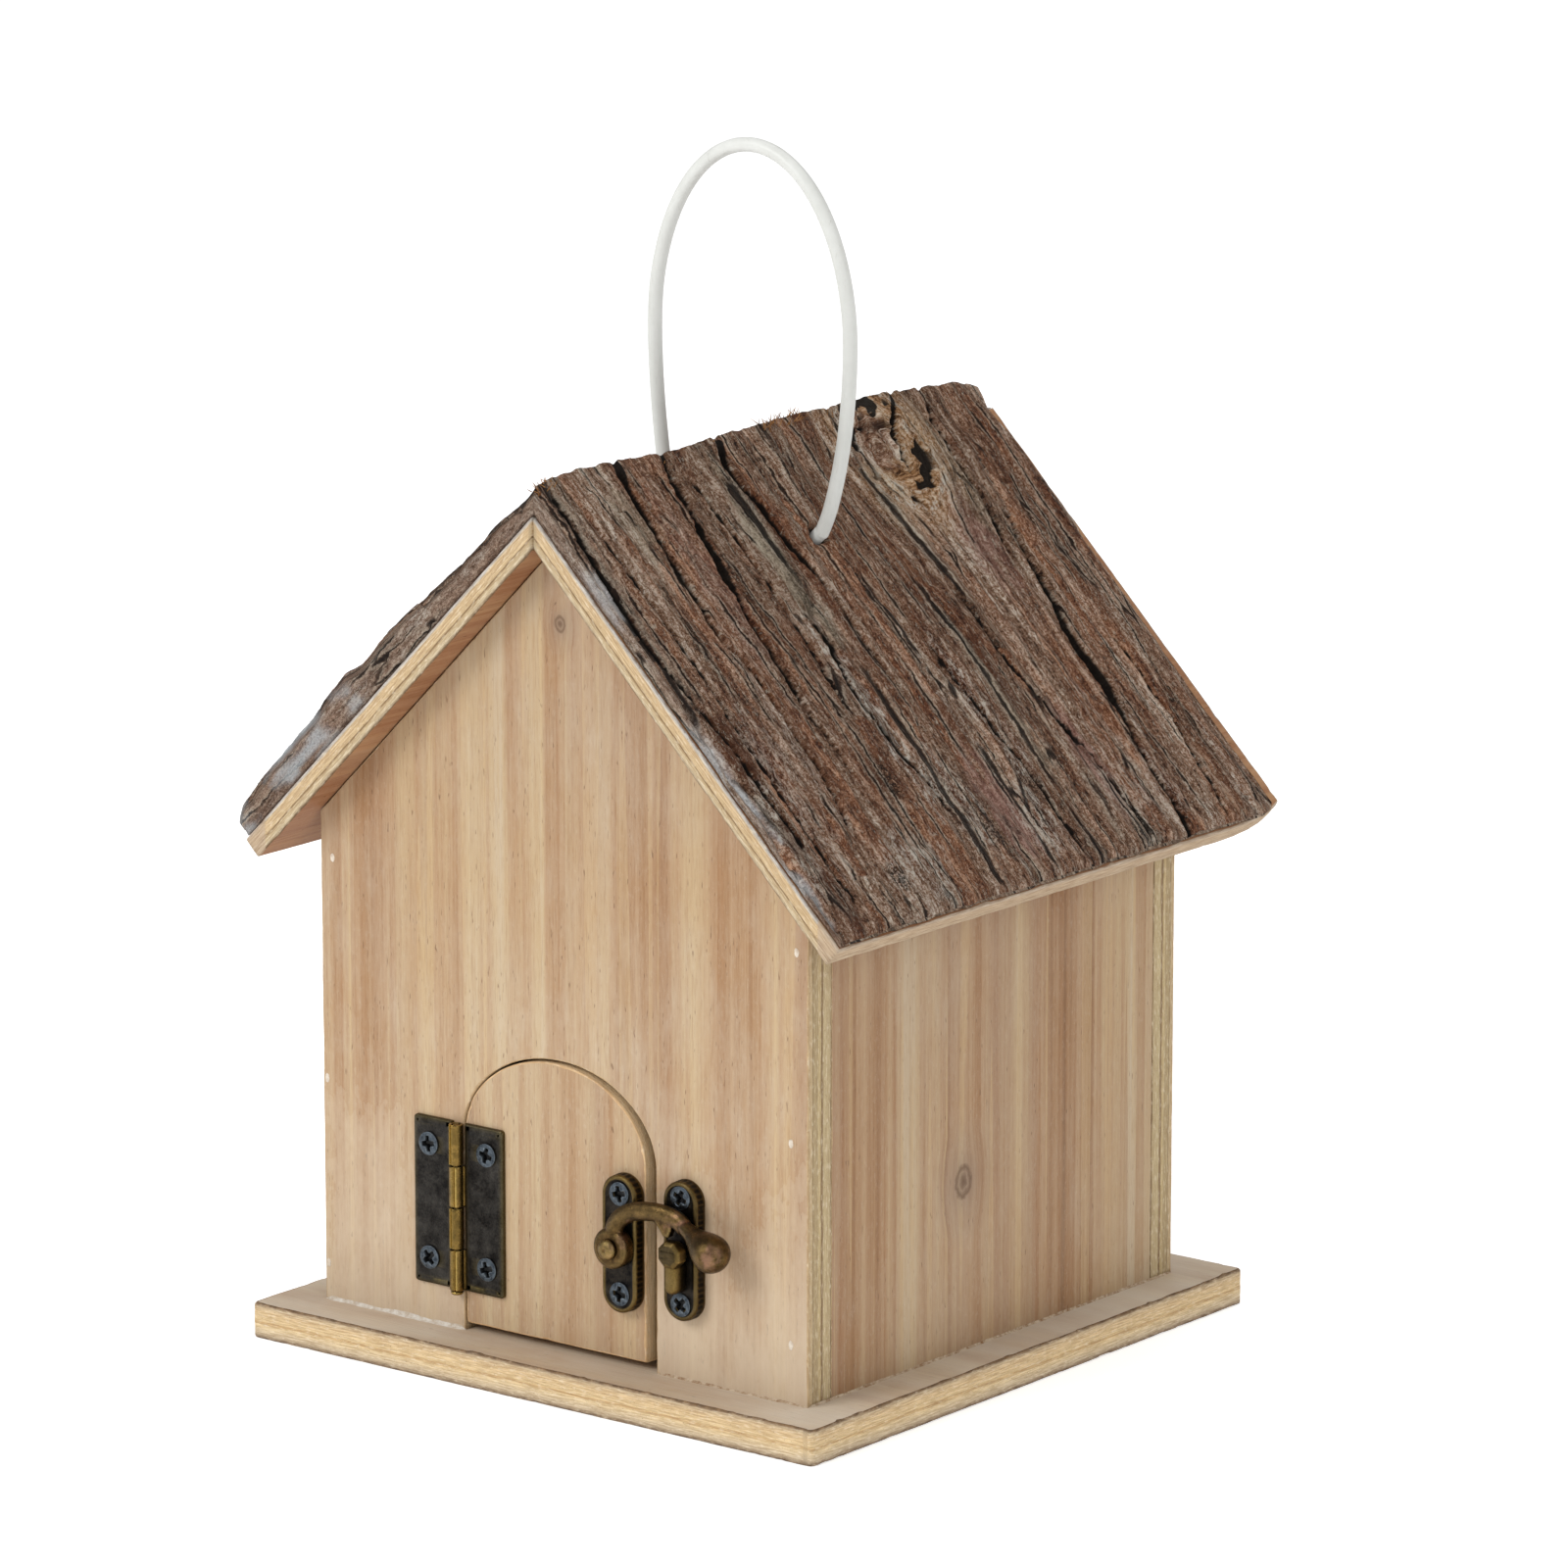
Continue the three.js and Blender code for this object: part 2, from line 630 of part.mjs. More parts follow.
function addKeeper() {
  const headDepth = keeperHeadFront - keeperHeadBack;
  const chamfer = 0.8;
  const postRadius = 1.9;
  const postFront = keeperHeadBack + 0.6;
  const postLength = 4;
  const { x, z } = keeperPlate;
  const post = turned([[0, 0], [postRadius, 0], [postRadius, postLength], [0, postLength]],
    [x, wallFrontY - postFront, z], [0, 1, 0], 16);
  const head = turned([
    [0, 0], [keeperHeadRadius - chamfer, 0], [keeperHeadRadius, chamfer],
    [keeperHeadRadius, headDepth], [0, headDepth],
  ], [x, wallFrontY - keeperHeadFront, z], [0, 1, 0], 8);
  const tail = uprightChamfered(
    stadium(keeperTail), wallFrontY - keeperTail.front, keeperTail.thickness, chamfer);
  const keeper = join([cut(castPlate(keeperPlate), fasteners), post, head, tail]);
  add('keeper', keeper, finish(metalColors.dark, 0.4, 0.9));
}

// ---------------------------------------------------------------- assembly
addWallNails();
addBaseNails();
addRoofNails();
addHingeScrews();
addPlateScrews('latch', latchPlate);
addPlateScrews('keeper', keeperPlate);

addBase();
addFrontWall();
addBackWall();
addDoor();
for (const [side, sign] of [['left', -1], ['right', 1]]) {
  addSideWall(side, sign);
  addRoofBoard(side, sign);
  addBarkSlab(side, sign);
}
addWire();

addHingeLeaf('wall', -1);
addHingeLeaf('door', 1);
addHingePin();
addLatchPlate();
addRivet();
addHook();
addKeeper();

export default house;
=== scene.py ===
import math
import bmesh
import bpy
import numpy as np
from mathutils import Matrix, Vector, geometry


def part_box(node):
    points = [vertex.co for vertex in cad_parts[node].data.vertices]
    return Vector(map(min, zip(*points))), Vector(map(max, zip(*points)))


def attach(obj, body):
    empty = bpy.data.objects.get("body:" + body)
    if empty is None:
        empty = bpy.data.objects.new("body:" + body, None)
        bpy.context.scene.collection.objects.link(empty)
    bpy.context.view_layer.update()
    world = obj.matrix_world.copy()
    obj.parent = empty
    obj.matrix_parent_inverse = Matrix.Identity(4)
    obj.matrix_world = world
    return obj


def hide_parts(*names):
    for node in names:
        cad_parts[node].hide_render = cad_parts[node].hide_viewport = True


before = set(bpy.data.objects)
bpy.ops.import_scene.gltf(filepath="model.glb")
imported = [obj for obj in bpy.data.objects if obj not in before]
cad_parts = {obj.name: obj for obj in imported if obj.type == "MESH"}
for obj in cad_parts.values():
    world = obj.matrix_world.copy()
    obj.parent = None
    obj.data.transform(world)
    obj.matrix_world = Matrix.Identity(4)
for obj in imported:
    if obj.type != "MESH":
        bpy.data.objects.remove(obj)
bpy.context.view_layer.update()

# A gable-roofed birdhouse: whitewashed plywood box, bark roof, brass hinge and swing latch, wire loop.
# Geometry is worked out in millimetres and turned into metres when a mesh is made.

# ---------------------------------------------------------------- places from the frame
MM = 0.001
HOUSE, DOOR, HOOK = "house", "door", "latch_hook"


def box_mm(node):
    low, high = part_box(node)
    return np.array(low) / MM, np.array(high) / MM


base_low, base_high = box_mm("base_board")
front_low, front_high = box_mm("front_wall")
back_low, back_high = box_mm("back_wall")
side_low, side_high = box_mm("side_wall_right")
door_low, door_high = box_mm("door")
roof_low, roof_high = box_mm("roof_board_right")
wire_low, wire_high = box_mm("hanging_wire")

BOARD = front_high[1] - front_low[1]  # thickness of the plywood
ROOT2 = math.sqrt(2)
ROOF_PLY = 5.0  # thickness of the roof boards
MITRE = roof_low[0]
RIDGE_Z = roof_high[2] + MITRE - ROOF_PLY * ROOT2  # underside of the roof boards at the ridge
SLOPE = (roof_high[0] - ROOF_PLY / ROOT2) * ROOT2  # from the ridge to the eave, down the slope
ROOF_DEPTH = roof_high[1] - roof_low[1]

DOORWAY_X, DOORWAY_HALF, SPRING_Z, DOORWAY_RISE = -0.5, 26.7, 52.6, 20.1
ENTRANCE_RADIUS, ENTRANCE_Z = 16.0, 118.0
EAVE_CORNER_ALONG, EAVE_CORNER_UP = 22.0, 3.0  # how the roof's rear lower corners are worn off

WIRE_RADIUS = 1.6
WIRE_HOLE_OFFSET = 18.6  # from the loop's middle to each hole
WIRE_CENTRE_Z = 221.5
wire_x = (wire_low[0] + wire_high[0]) / 2
wire_y = (wire_low[1] + wire_high[1]) / 2


def on_slope(sign, u, v, height):
    """A roof point: u back from the front edge, v down from the ridge, height above the underside."""
    x = sign * (v + height) / ROOT2
    z = RIDGE_Z - (v - height) / ROOT2
    return np.stack([x, roof_low[1] + u + 0 * x, z], -1)


# ---------------------------------------------------------------- seeded noise
def lattice(ix, iy, seed):
    value = np.sin(ix * 127.1 + iy * 311.7 + seed * 74.7) * 43758.5453
    return value - np.floor(value)


def smooth_noise(x, y, seed):
    """From -1 to 1, about one bump per unit."""
    x, y = np.broadcast_arrays(np.asarray(x, float), np.asarray(y, float))
    ix, iy = np.floor(x), np.floor(y)
    fx, fy = x - ix, y - iy
    fx = fx * fx * (3 - 2 * fx)
    fy = fy * fy * (3 - 2 * fy)
    low = lattice(ix, iy, seed) * (1 - fx) + lattice(ix + 1, iy, seed) * fx
    high = lattice(ix, iy + 1, seed) * (1 - fx) + lattice(ix + 1, iy + 1, seed) * fx
    return 2 * (low * (1 - fy) + high * fy) - 1


def layered_noise(x, y, seed, layers=4):
    total = 0
    for i in range(layers):
        total = total + smooth_noise(x * 2**i, y * 2**i, seed + 11 * i) / 2**i
    return total / (2 - 2 ** (1 - layers))


def cells(x, y, seed):
    """Cell noise: how far the borders are, and one random number per cell."""
    ix, iy = np.floor(x), np.floor(y)
    nearest = np.full(x.shape, 9.0)
    second = np.full(x.shape, 9.0)
    tone = np.zeros(x.shape)
    for dx in (-1, 0, 1):
        for dy in (-1, 0, 1):
            cx, cy = ix + dx, iy + dy
            away = np.hypot(x - cx - lattice(cx, cy, seed), y - cy - lattice(cx, cy, seed + 1))
            closer = away < nearest
            second = np.where(closer, nearest, np.minimum(second, away))
            tone = np.where(closer, lattice(cx, cy, seed + 2), tone)
            nearest = np.where(closer, away, nearest)
    return second - nearest, tone


def step(low, high, value):
    t = np.clip((value - low) / (high - low), 0, 1)
    return t * t * (3 - 2 * t)


# ---------------------------------------------------------------- material helpers
def rgb(red, green, blue):
    """A colour from 0 to 255 a channel, as Blender's linear colour."""
    linear = [((c / 255 + 0.055) / 1.055) ** 2.4 if c > 10 else c / 255 / 12.92 for c in (red, green, blue)]
    return (*linear, 1.0)


class Finish:
    """One procedural material, with short calls for the nodes it needs."""

    def __init__(self, name, metallic=0.0, roughness=0.7, specular=0.5):
        self.material = bpy.data.materials.new(name)
        self.material.use_nodes = True
        self.tree = self.material.node_tree
        self.shader = self.tree.nodes["Principled BSDF"]
        self.shader.inputs["Metallic"].default_value = metallic
        self.shader.inputs["Roughness"].default_value = roughness
        self.shader.inputs["Specular IOR Level"].default_value = specular

    def node(self, kind, values=(), **settings):
        made = self.tree.nodes.new("ShaderNode" + kind)
        for key, value in settings.items():
            setattr(made, key, value)
        for key, value in dict(values).items():
            self.feed(made.inputs[key], value)
        return made

    def feed(self, socket, value):
        if isinstance(value, bpy.types.NodeSocket):
            self.tree.links.new(value, socket)
        else:
            socket.default_value = value

    def math(self, operation, a, b=0.0, c=0.0, clamp=False):
        return self.node("Math", {0: a, 1: b, 2: c}, operation=operation, use_clamp=clamp).outputs[0]

    def weighted(self, *parts):
        """The sum of values times weights. parts are (value, weight)."""
        total = 0.0
        for value, weight in parts:
            total = self.math("MULTIPLY_ADD", value, weight, total)
        return total

    def contrast(self, value, gain, middle):
        """Spreads a value about a half, and moves that half to middle."""
        return self.math("MULTIPLY_ADD", self.math("SUBTRACT", value, 0.5), gain, middle)

    def mix(self, factor, a, b, blend="MIX"):
        made = self.node("Mix", {0: factor, 6: a, 7: b}, data_type="RGBA", blend_type=blend)
        return made.outputs[2]

    def ramp(self, value, *stops):
        """stops are (place, number or colour)."""
        made = self.node("ValToRGB", {0: value})
        ramp = made.color_ramp
        for _ in range(len(stops) - 2):
            ramp.elements.new(0.5)
        for element, (place, shade) in zip(ramp.elements, stops):
            element.position = place
            element.color = shade if isinstance(shade, tuple) else (shade, shade, shade, 1)
        return made.outputs[0]

    def spot(self, attribute):
        return self.node("Attribute", attribute_name=attribute).outputs

    def object_place(self):
        return self.node("TexCoord").outputs["Object"]

    def parts(self, vector):
        return self.node("SeparateXYZ", {0: vector}).outputs

    def moved(self, place, offset, operation):
        """A vector with another added or subtracted."""
        return self.node("VectorMath", {0: place, 1: offset}, operation=operation).outputs[0]

    def stretched(self, place, scale, shift=(0, 0, 0)):
        return self.node("Mapping", {"Vector": place, "Scale": scale, "Location": shift}).outputs[0]

    def noise(self, place, scale, shift=(0, 0, 0), detail=3.0, roughness=0.55, distortion=0.0):
        """Noise with its own number of bumps per unit along each axis."""
        values = {"Vector": self.stretched(place, scale, shift), "Scale": 1.0, "Detail": detail,
                  "Roughness": roughness, "Distortion": distortion}
        return self.node("TexNoise", values).outputs[0]

    def bump(self, height, strength, distance):
        made = self.node("Bump", {"Height": height, "Strength": strength, "Distance": distance})
        self.feed(self.shader.inputs["Normal"], made.outputs[0])

    def done(self, color, roughness=None):
        self.feed(self.shader.inputs["Base Color"], color)
        if roughness is not None:
            self.feed(self.shader.inputs["Roughness"], roughness)
        return self.material


# ---------------------------------------------------------------- wood finishes
WHITE = rgb(255, 255, 255)
VENEER_SHADES = ((0.12, rgb(132, 96, 64)), (0.36, rgb(157, 121, 86)), (0.56, rgb(174, 143, 110)),
                 (0.76, rgb(187, 163, 128)), (0.95, rgb(192, 174, 148)))


def grain_axes(along, across, length):
    """Noise bumps per metre for grain that runs along one axis."""
    return tuple(length if axis == along else across for axis in "xyz")


def wood_face(name, along="z", shift=0.0, whitewash=0.5, contrast=1.0, tint=WHITE, knot=None, bleach=0.0,
              pale_foot=0.0):
    """Whitewashed plywood veneer. knot is a centre in metres and a radius."""
    f = Finish(name, roughness=0.62, specular=0.25)
    place = f.object_place()
    if knot:
        place, rings, core = knotted(f, place, knot)

    def grain(across, length, *shifts, **settings):
        return f.noise(place, grain_axes(along, across, length), *shifts, **settings)

    lines = grain(1150, 14, (shift, shift + 7, 0), detail=3)
    color = veneer_figure(f, grain, lines, shift, contrast)
    cloud = grain(34, 17, (5, shift, shift), detail=6, roughness=0.72)
    color, fibres, pores = veneer_wash(f, grain, color, cloud, shift, whitewash)
    if knot:
        color = f.mix(f.ramp(rings, (0.0, 0.55), (0.5, 0.18), (1.0, 0.0)), color, rgb(122, 108, 100))
        color = f.mix(core, color, rgb(98, 72, 52))
    if bleach:
        thin = grain(26, 9, (2, 6, shift), detail=4, roughness=0.6)
        color = f.mix(f.ramp(thin, (0.35, bleach * 0.3), (0.6, bleach)), color, rgb(206, 196, 180))
    # pale_foot also turns on painted shade towards the top of the wall.
    if pale_foot:
        color = veneer_foot_and_top_shade(f, place, color, cloud, pale_foot)
    color = f.mix(1.0, color, tint, "MULTIPLY")
    f.bump(f.math("SUBTRACT", f.math("MULTIPLY_ADD", lines, 0.6, fibres), pores), 0.35, 0.00025)
    return f.done(color, f.ramp(cloud, (0.3, 0.52), (0.7, 0.72)))


def veneer_figure(f, grain, lines, shift, contrast):
    """Broad bands, stripes and fine lines of grain, with pinkish, brown and pale streaks."""
    bands = grain(48, 1.6, (shift, shift, 0), detail=1.5)
    stripes = grain(210, 2.4, (shift + 3, shift, 5), detail=2.5, roughness=0.6)
    figure = f.weighted((stripes, 0.42), (bands, 0.40), (lines, 0.18))
    color = f.ramp(f.contrast(figure, 2.2 * contrast, 0.58), *VENEER_SHADES)
    pink = grain(95, 2.4, (shift + 9, 4, 1), detail=2)
    color = f.mix(f.ramp(pink, (0.5, 0.0), (0.72, 0.5)), color, rgb(154, 122, 98))
    streak = grain(130, 1.1, (shift, 2, 6), detail=2.5, roughness=0.7)
    strength = 0.42 * contrast
    color = f.mix(f.ramp(streak, (0.56, 0.0), (0.575, strength), (0.66, 0.0)), color, rgb(150, 106, 66))
    return f.mix(f.ramp(streak, (0.34, 0.0), (0.43, strength), (0.44, 0.0)), color, rgb(198, 172, 130))


def veneer_wash(f, grain, color, cloud, shift, whitewash):
    """The thin cloudy wash, with the fibres, speckles and pores that show through it."""
    fibres = grain(3200, 210, (0, shift, 2), detail=2)
    scrape = grain(420, 60, (1, shift, 8), detail=4, roughness=0.7)
    speckle = grain(1300, 620, (6, shift, 3), detail=4, roughness=0.75)
    thick = f.ramp(cloud, (0.40, 0.0), (0.72, whitewash))
    wash = f.math("MULTIPLY", thick, f.ramp(scrape, (0.3, 0.35), (0.7, 1.0)))
    color = f.mix(wash, color, rgb(198, 186, 168))
    color = f.mix(f.ramp(fibres, (0.3, 0.30), (0.5, 0.0)), color, rgb(206, 186, 166), "MULTIPLY")
    color = f.mix(f.ramp(speckle, (0.54, 0.0), (0.68, 0.16)), color, rgb(204, 192, 174))
    pores = f.ramp(grain(2100, 380, (4, 4, shift), detail=1), (0.70, 0.0), (0.78, 0.6))
    return f.mix(pores, color, rgb(104, 74, 50)), fibres, pores


def veneer_foot_and_top_shade(f, place, color, cloud, strength):
    """A pale, scuffed foot, and painted shade that darkens the wall towards its top."""
    height = f.math("MULTIPLY", f.parts(place)[2], 6.0)
    low = f.ramp(f.math("ADD", height, f.math("MULTIPLY", cloud, 1.4)),
                 (0.75, strength), (1.0, strength * 0.25), (1.4, 0.0))
    color = f.mix(low, color, rgb(204, 190, 170))
    # Painted shade: the colour is multiplied darker towards the top of the wall.
    return f.mix(f.ramp(height, (0.3, 0.0), (0.9, 1.0)), color, rgb(240, 238, 238), "MULTIPLY")


def knotted(f, place, knot):
    """Bends the grain round a knot, and returns the bent place with the knot's ring and core masks."""
    centre, radius = knot
    offset = f.moved(place, centre, "SUBTRACT")
    flat = f.stretched(offset, (1, 1, 0.78))
    away = f.node("VectorMath", {0: flat}, operation="LENGTH").outputs["Value"]
    near = f.math("DIVIDE", away, radius)
    pull = f.ramp(f.math("DIVIDE", near, 4.0), (0.0, 0.6), (1.0, 0.0))
    bent = f.node("VectorMath", {0: offset, "Scale": pull}, operation="SCALE").outputs[0]
    wobble = f.noise(offset, (700, 700, 700), detail=2)
    edge = f.math("ADD", near, f.math("MULTIPLY", f.math("SUBTRACT", wobble, 0.5), 0.5))
    core = f.ramp(f.math("DIVIDE", edge, 3.0),
                  (0.0, 0.75), (0.12, 0.55), (0.20, 0.1), (0.32, 0.7), (0.42, 0.0), (1.0, 0.0))
    return f.moved(place, bent, "SUBTRACT"), f.math("DIVIDE", near, 4.5), core


def ply_edge(name, layers, streaks=0.5, grime_and_recess_shade=0.0, eave=0.0):
    """The layered edge of a board. layers are (depth share, colour); past x = eave it is weathered."""
    f = Finish(name, roughness=0.85, specular=0.15)
    edge = f.spot("edge_place")["Vector"]
    depth = f.spot("ply")["Fac"]
    wander = f.math("MULTIPLY", f.math("SUBTRACT", f.noise(edge, (0.09, 0.5, 1), detail=3), 0.5), 0.11)
    color = f.ramp(f.math("ADD", depth, wander), *layers)
    streak = f.noise(edge, (0.16, 3.2, 1), (3, 0, 0), detail=4, roughness=0.7)
    color = f.mix(f.ramp(streak, (0.42, streaks), (0.62, 0.0)), color, rgb(150, 122, 88), "MULTIPLY")
    light = f.noise(edge, (0.5, 2.0, 1), (9, 2, 0), detail=4)
    color = f.mix(f.ramp(light, (0.52, 0.0), (0.7, 0.5)), color, rgb(232, 218, 192))
    specks = f.noise(edge, (1.8, 2.6, 1), (1, 7, 0), detail=3, roughness=0.7)
    color = f.mix(f.ramp(specks, (0.62, 0.0), (0.70, 0.75)), color, rgb(120, 92, 62))
    # On ply edges this is grime only, near the board's two faces.
    if grime_and_recess_shade:
        dirt_and_recess_shade = f.noise(edge, (0.35, 1.2, 1), (5, 5, 0), detail=5, roughness=0.75)
        low = f.math("MULTIPLY", f.ramp(depth, (0.0, 0.9), (0.10, 0.0), (0.86, 0.0), (1.0, 1.0)), grime_and_recess_shade)
        dirt_and_recess_shade = f.math("MULTIPLY", f.ramp(dirt_and_recess_shade, (0.36, 0.0), (0.6, 1.0)), low, clamp=True)
        color = f.mix(dirt_and_recess_shade, color, rgb(96, 76, 58))
    if eave:
        x = f.parts(f.object_place())[0]
        lower = f.math("GREATER_THAN", f.math("ABSOLUTE", x), eave)
        weathered = f.ramp(streak, (0.3, rgb(128, 104, 82)), (0.5, rgb(174, 152, 128)),
                           (0.7, rgb(196, 178, 156)))
        color = f.mix(f.math("MULTIPLY", lower, 0.8), color, weathered)
    f.bump(f.math("ADD", streak, specks), 0.6, 0.0004)
    return f.done(color)


WALL_LAYERS = (
    (0.00, rgb(188, 162, 126)), (0.16, rgb(200, 178, 142)), (0.20, rgb(152, 132, 100)),
    (0.24, rgb(182, 162, 126)), (0.40, rgb(178, 158, 122)), (0.44, rgb(200, 180, 140)),
    (0.52, rgb(196, 174, 132)), (0.56, rgb(140, 118, 88)), (0.61, rgb(152, 128, 98)),
    (0.66, rgb(198, 180, 142)), (0.94, rgb(188, 168, 132)), (1.00, rgb(112, 90, 64)))
# The door's ply edge is a light tan ply. It is made lighter still as painted light, where the narrow gap
# keeps it in shade.
DOOR_LAYERS = (
    (0.00, rgb(206, 172, 130)), (0.10, rgb(234, 206, 164)), (0.34, rgb(240, 214, 174)),
    (0.40, rgb(204, 172, 132)), (0.60, rgb(226, 198, 158)), (0.66, rgb(232, 206, 164)),
    (1.00, rgb(160, 130, 96)))
BASE_LAYERS = (
    (0.00, rgb(150, 120, 88)), (0.07, rgb(200, 180, 150)), (0.24, rgb(222, 196, 154)),
    (0.46, rgb(226, 202, 158)), (0.52, rgb(204, 172, 126)), (0.60, rgb(230, 208, 166)),
    (0.80, rgb(212, 194, 164)), (1.00, rgb(158, 138, 116)))
ROOF_LAYERS = (
    (0.00, rgb(206, 204, 202)), (0.10, rgb(200, 194, 184)), (0.18, rgb(202, 176, 138)),
    (0.56, rgb(206, 182, 144)), (0.62, rgb(128, 102, 72)), (0.68, rgb(192, 170, 134)),
    (0.90, rgb(204, 188, 158)), (1.00, rgb(146, 120, 90)))

front_face = wood_face("front_veneer", shift=2.4, whitewash=0.7, tint=rgb(250, 248, 244), pale_foot=0.6,
                       knot=((0.0006, front_low[1] * MM, 0.1683), 0.0013))
door_face = wood_face("door_veneer", shift=7.7, whitewash=0.25, contrast=0.8, tint=rgb(250, 253, 255))
# The side walls' tint darkens them all over. It is partly the wood's own browner colour and partly painted
# shade on the side turned from the key light.
side_face = wood_face("side_veneer", shift=4.1, whitewash=0.50, contrast=1.15, tint=rgb(238, 234, 230),
                      knot=((side_high[0] * MM, -0.0161, 0.0457), 0.0026))
back_face = wood_face("back_veneer", shift=9.3, whitewash=0.50)
base_face = wood_face("base_veneer", along="x", shift=1.6, whitewash=1.0, contrast=0.8, bleach=0.85)
roof_face = wood_face("roof_veneer", along="y", shift=5.5, whitewash=0.15, tint=rgb(226, 200, 186))
wall_edge = ply_edge("wall_ply_edge", WALL_LAYERS, streaks=0.35)
door_edge = ply_edge("door_ply_edge", DOOR_LAYERS, streaks=0.3)
base_edge = ply_edge("base_ply_edge", BASE_LAYERS, streaks=0.5, grime_and_recess_shade=1.3)
roof_edge = ply_edge("roof_ply_edge", ROOF_LAYERS, streaks=0.45, grime_and_recess_shade=0.9, eave=(roof_high[0] - 5.5) * MM)


# ---------------------------------------------------------------- mesh helpers
def piece(name, points, faces, body, slot, *materials):
    mesh = bpy.data.meshes.new(name)
    mesh.from_pydata((np.asarray(points, float) * MM).tolist(), [], faces)
    for material in materials:
        mesh.materials.append(material)
    mesh.polygons.foreach_set("use_smooth", [True] * len(mesh.polygons))
    thing = bpy.data.objects.new(name, mesh)
    bpy.context.scene.collection.objects.link(thing)
    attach(thing, body)
    return thing


def store(thing, name, values):
    values = np.asarray(values, np.float32)
    kind = "FLOAT_VECTOR" if values.ndim > 1 else "FLOAT"
    made = thing.data.attributes.new(name, kind, "POINT")
    made.data.foreach_set("vector" if values.ndim > 1 else "value", values.ravel())


def grid_faces(rows, columns, start=0, wrap=False):
    faces = []
    for i in range(rows - 1):
        for j in range(columns if wrap else columns - 1):
            k = (j + 1) % columns
            faces.append((start + i * columns + j, start + i * columns + k,
                          start + (i + 1) * columns + k, start + (i + 1) * columns + j))
    return faces


BOARD_GAP = 1.2  # between points along a board's outline


def dense(corners, gap=BOARD_GAP):
    """Points about a gap apart along a closed outline, with its corners kept."""
    made = []
    for a, b in zip(corners, corners[1:] + corners[:1]):
        a, b = np.array(a, float), np.array(b, float)
        count = max(1, round(float(np.linalg.norm(b - a)) / gap))
        made += [a + (b - a) * i / count for i in range(count)]
    return np.array(made)


def arc(cx, cz, rx, rz, start, end, count):
    """Points on part of an ellipse, angles in degrees."""
    angles = np.radians(np.linspace(start, end, count))
    return [(cx + rx * math.cos(t), cz + rz * math.sin(t)) for t in angles]


def inward(path):
    """At each point of a counter-clockwise outline, how it moves when the outline shrinks by one."""
    ahead = np.roll(path, -1, 0) - path
    ahead /= np.linalg.norm(ahead, axis=1)[:, None]
    left = np.stack([-ahead[:, 1], ahead[:, 0]], 1)
    before = np.roll(left, 1, 0)
    return (left + before) / (1 + (left * before).sum(1))[:, None]


ROUNDED = ((1.0, 0.0), (0.45, 0.08), (0.12, 0.4), (0.0, 1.0))  # inset and depth of a rounded edge


def edge_wear(along, rounding, chips, seed):
    """How far a board's edge is rounded at each point: soft bumps and a few chips."""
    bumps = layered_noise(along / 7, 0 * along, seed, 3)
    chip = np.clip(smooth_noise(along / 2.6, 0 * along, seed + 5) - 0.62, 0, 1) * 2.2 * chips
    return rounding * np.clip(1 + 0.55 * bumps, 0.4, 2) + chip * rounding


def board_rings(along, thickness, rounding, chips, seed):
    """The (inset, depth) of each ring round a board, from its face to its back."""
    front, back = (edge_wear(along, rounding, chips, seed + side) for side in (0, 1))
    rings = [(front * a, front * b) for a, b in ROUNDED]
    middle = max(2, round(thickness / 1.1))
    for k in range(1, middle):
        depth = front + (thickness - front - back) * k / middle
        rings.append((0.07 * layered_noise(along / 3, depth * 1.3, seed + 9, 3), depth))
    return rings + [(back * a, thickness - back * b) for a, b in reversed(ROUNDED)]


def cap_faces(loops):
    """Flat faces that close one end of a shell. loops are (first point's index, outline)."""
    index = [start + i for start, outline in loops for i in range(len(outline))]
    flat = [[Vector((x, y, 0)) for x, y in outline] for _, outline in loops]
    return [tuple(index[i] for i in triangle) for triangle in geometry.tessellate_polygon(flat)]


def board(name, body, slot, loops, place, thickness, face, edge, rounding=0.4, chips=0.8, seed=0):
    """A board with worn edges. loops are outlines, holes after the first; place maps (a, b, depth)."""
    points, faces, edge_places, ply = [], [], [], []
    front_loops, back_loops = [], []
    for number, corners in enumerate(loops):
        path = dense(corners)
        along = np.arange(len(path)) * BOARD_GAP + 500 * number
        move = inward(path)
        start = len(points)
        rings = board_rings(along, thickness, rounding, chips, seed)
        flats = [path + move * np.broadcast_to(inset, len(path))[:, None] for inset, _ in rings]
        for flat, (_, depth) in zip(flats, rings):
            depth = np.broadcast_to(depth, len(path))
            points += list(place(flat[:, 0], flat[:, 1], depth))
            edge_places += list(np.stack([along, depth, 0 * along], 1))
            ply += list(depth / thickness)
        faces += grid_faces(len(rings), len(path), start, wrap=True)
        front_loops.append((start, flats[0]))
        back_loops.append((start + (len(rings) - 1) * len(path), flats[-1]))
    rim_faces = len(faces)
    faces += cap_faces(front_loops) + cap_faces(back_loops)
    thing = piece(name, points, faces, body, slot, face, edge)
    kinds = [1] * rim_faces + [0] * (len(faces) - rim_faces)
    thing.data.polygons.foreach_set("material_index", kinds)
    thing.data.polygons.foreach_set("use_smooth", [kind == 1 for kind in kinds])
    store(thing, "edge_place", edge_places)
    store(thing, "ply", ply)
    face_outwards(thing)
    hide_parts(name.removesuffix("_worn"))


def face_outwards(thing):
    mesh = bmesh.new()
    mesh.from_mesh(thing.data)
    bmesh.ops.remove_doubles(mesh, verts=mesh.verts, dist=1e-7)
    bmesh.ops.recalc_face_normals(mesh, faces=mesh.faces)
    mesh.to_mesh(thing.data)
    mesh.free()


# ---------------------------------------------------------------- boards
def upright_place(front_y, direction=1):
    return lambda a, b, d: np.stack([a, front_y + direction * d, b], -1)


def gable_outline(low, high, bottom=()):
    half = high[0]
    shoulder = high[2] - half
    return [*bottom, (half, low[2]), (half, shoulder), (0, high[2]), (-half, shoulder), (-half, low[2])]


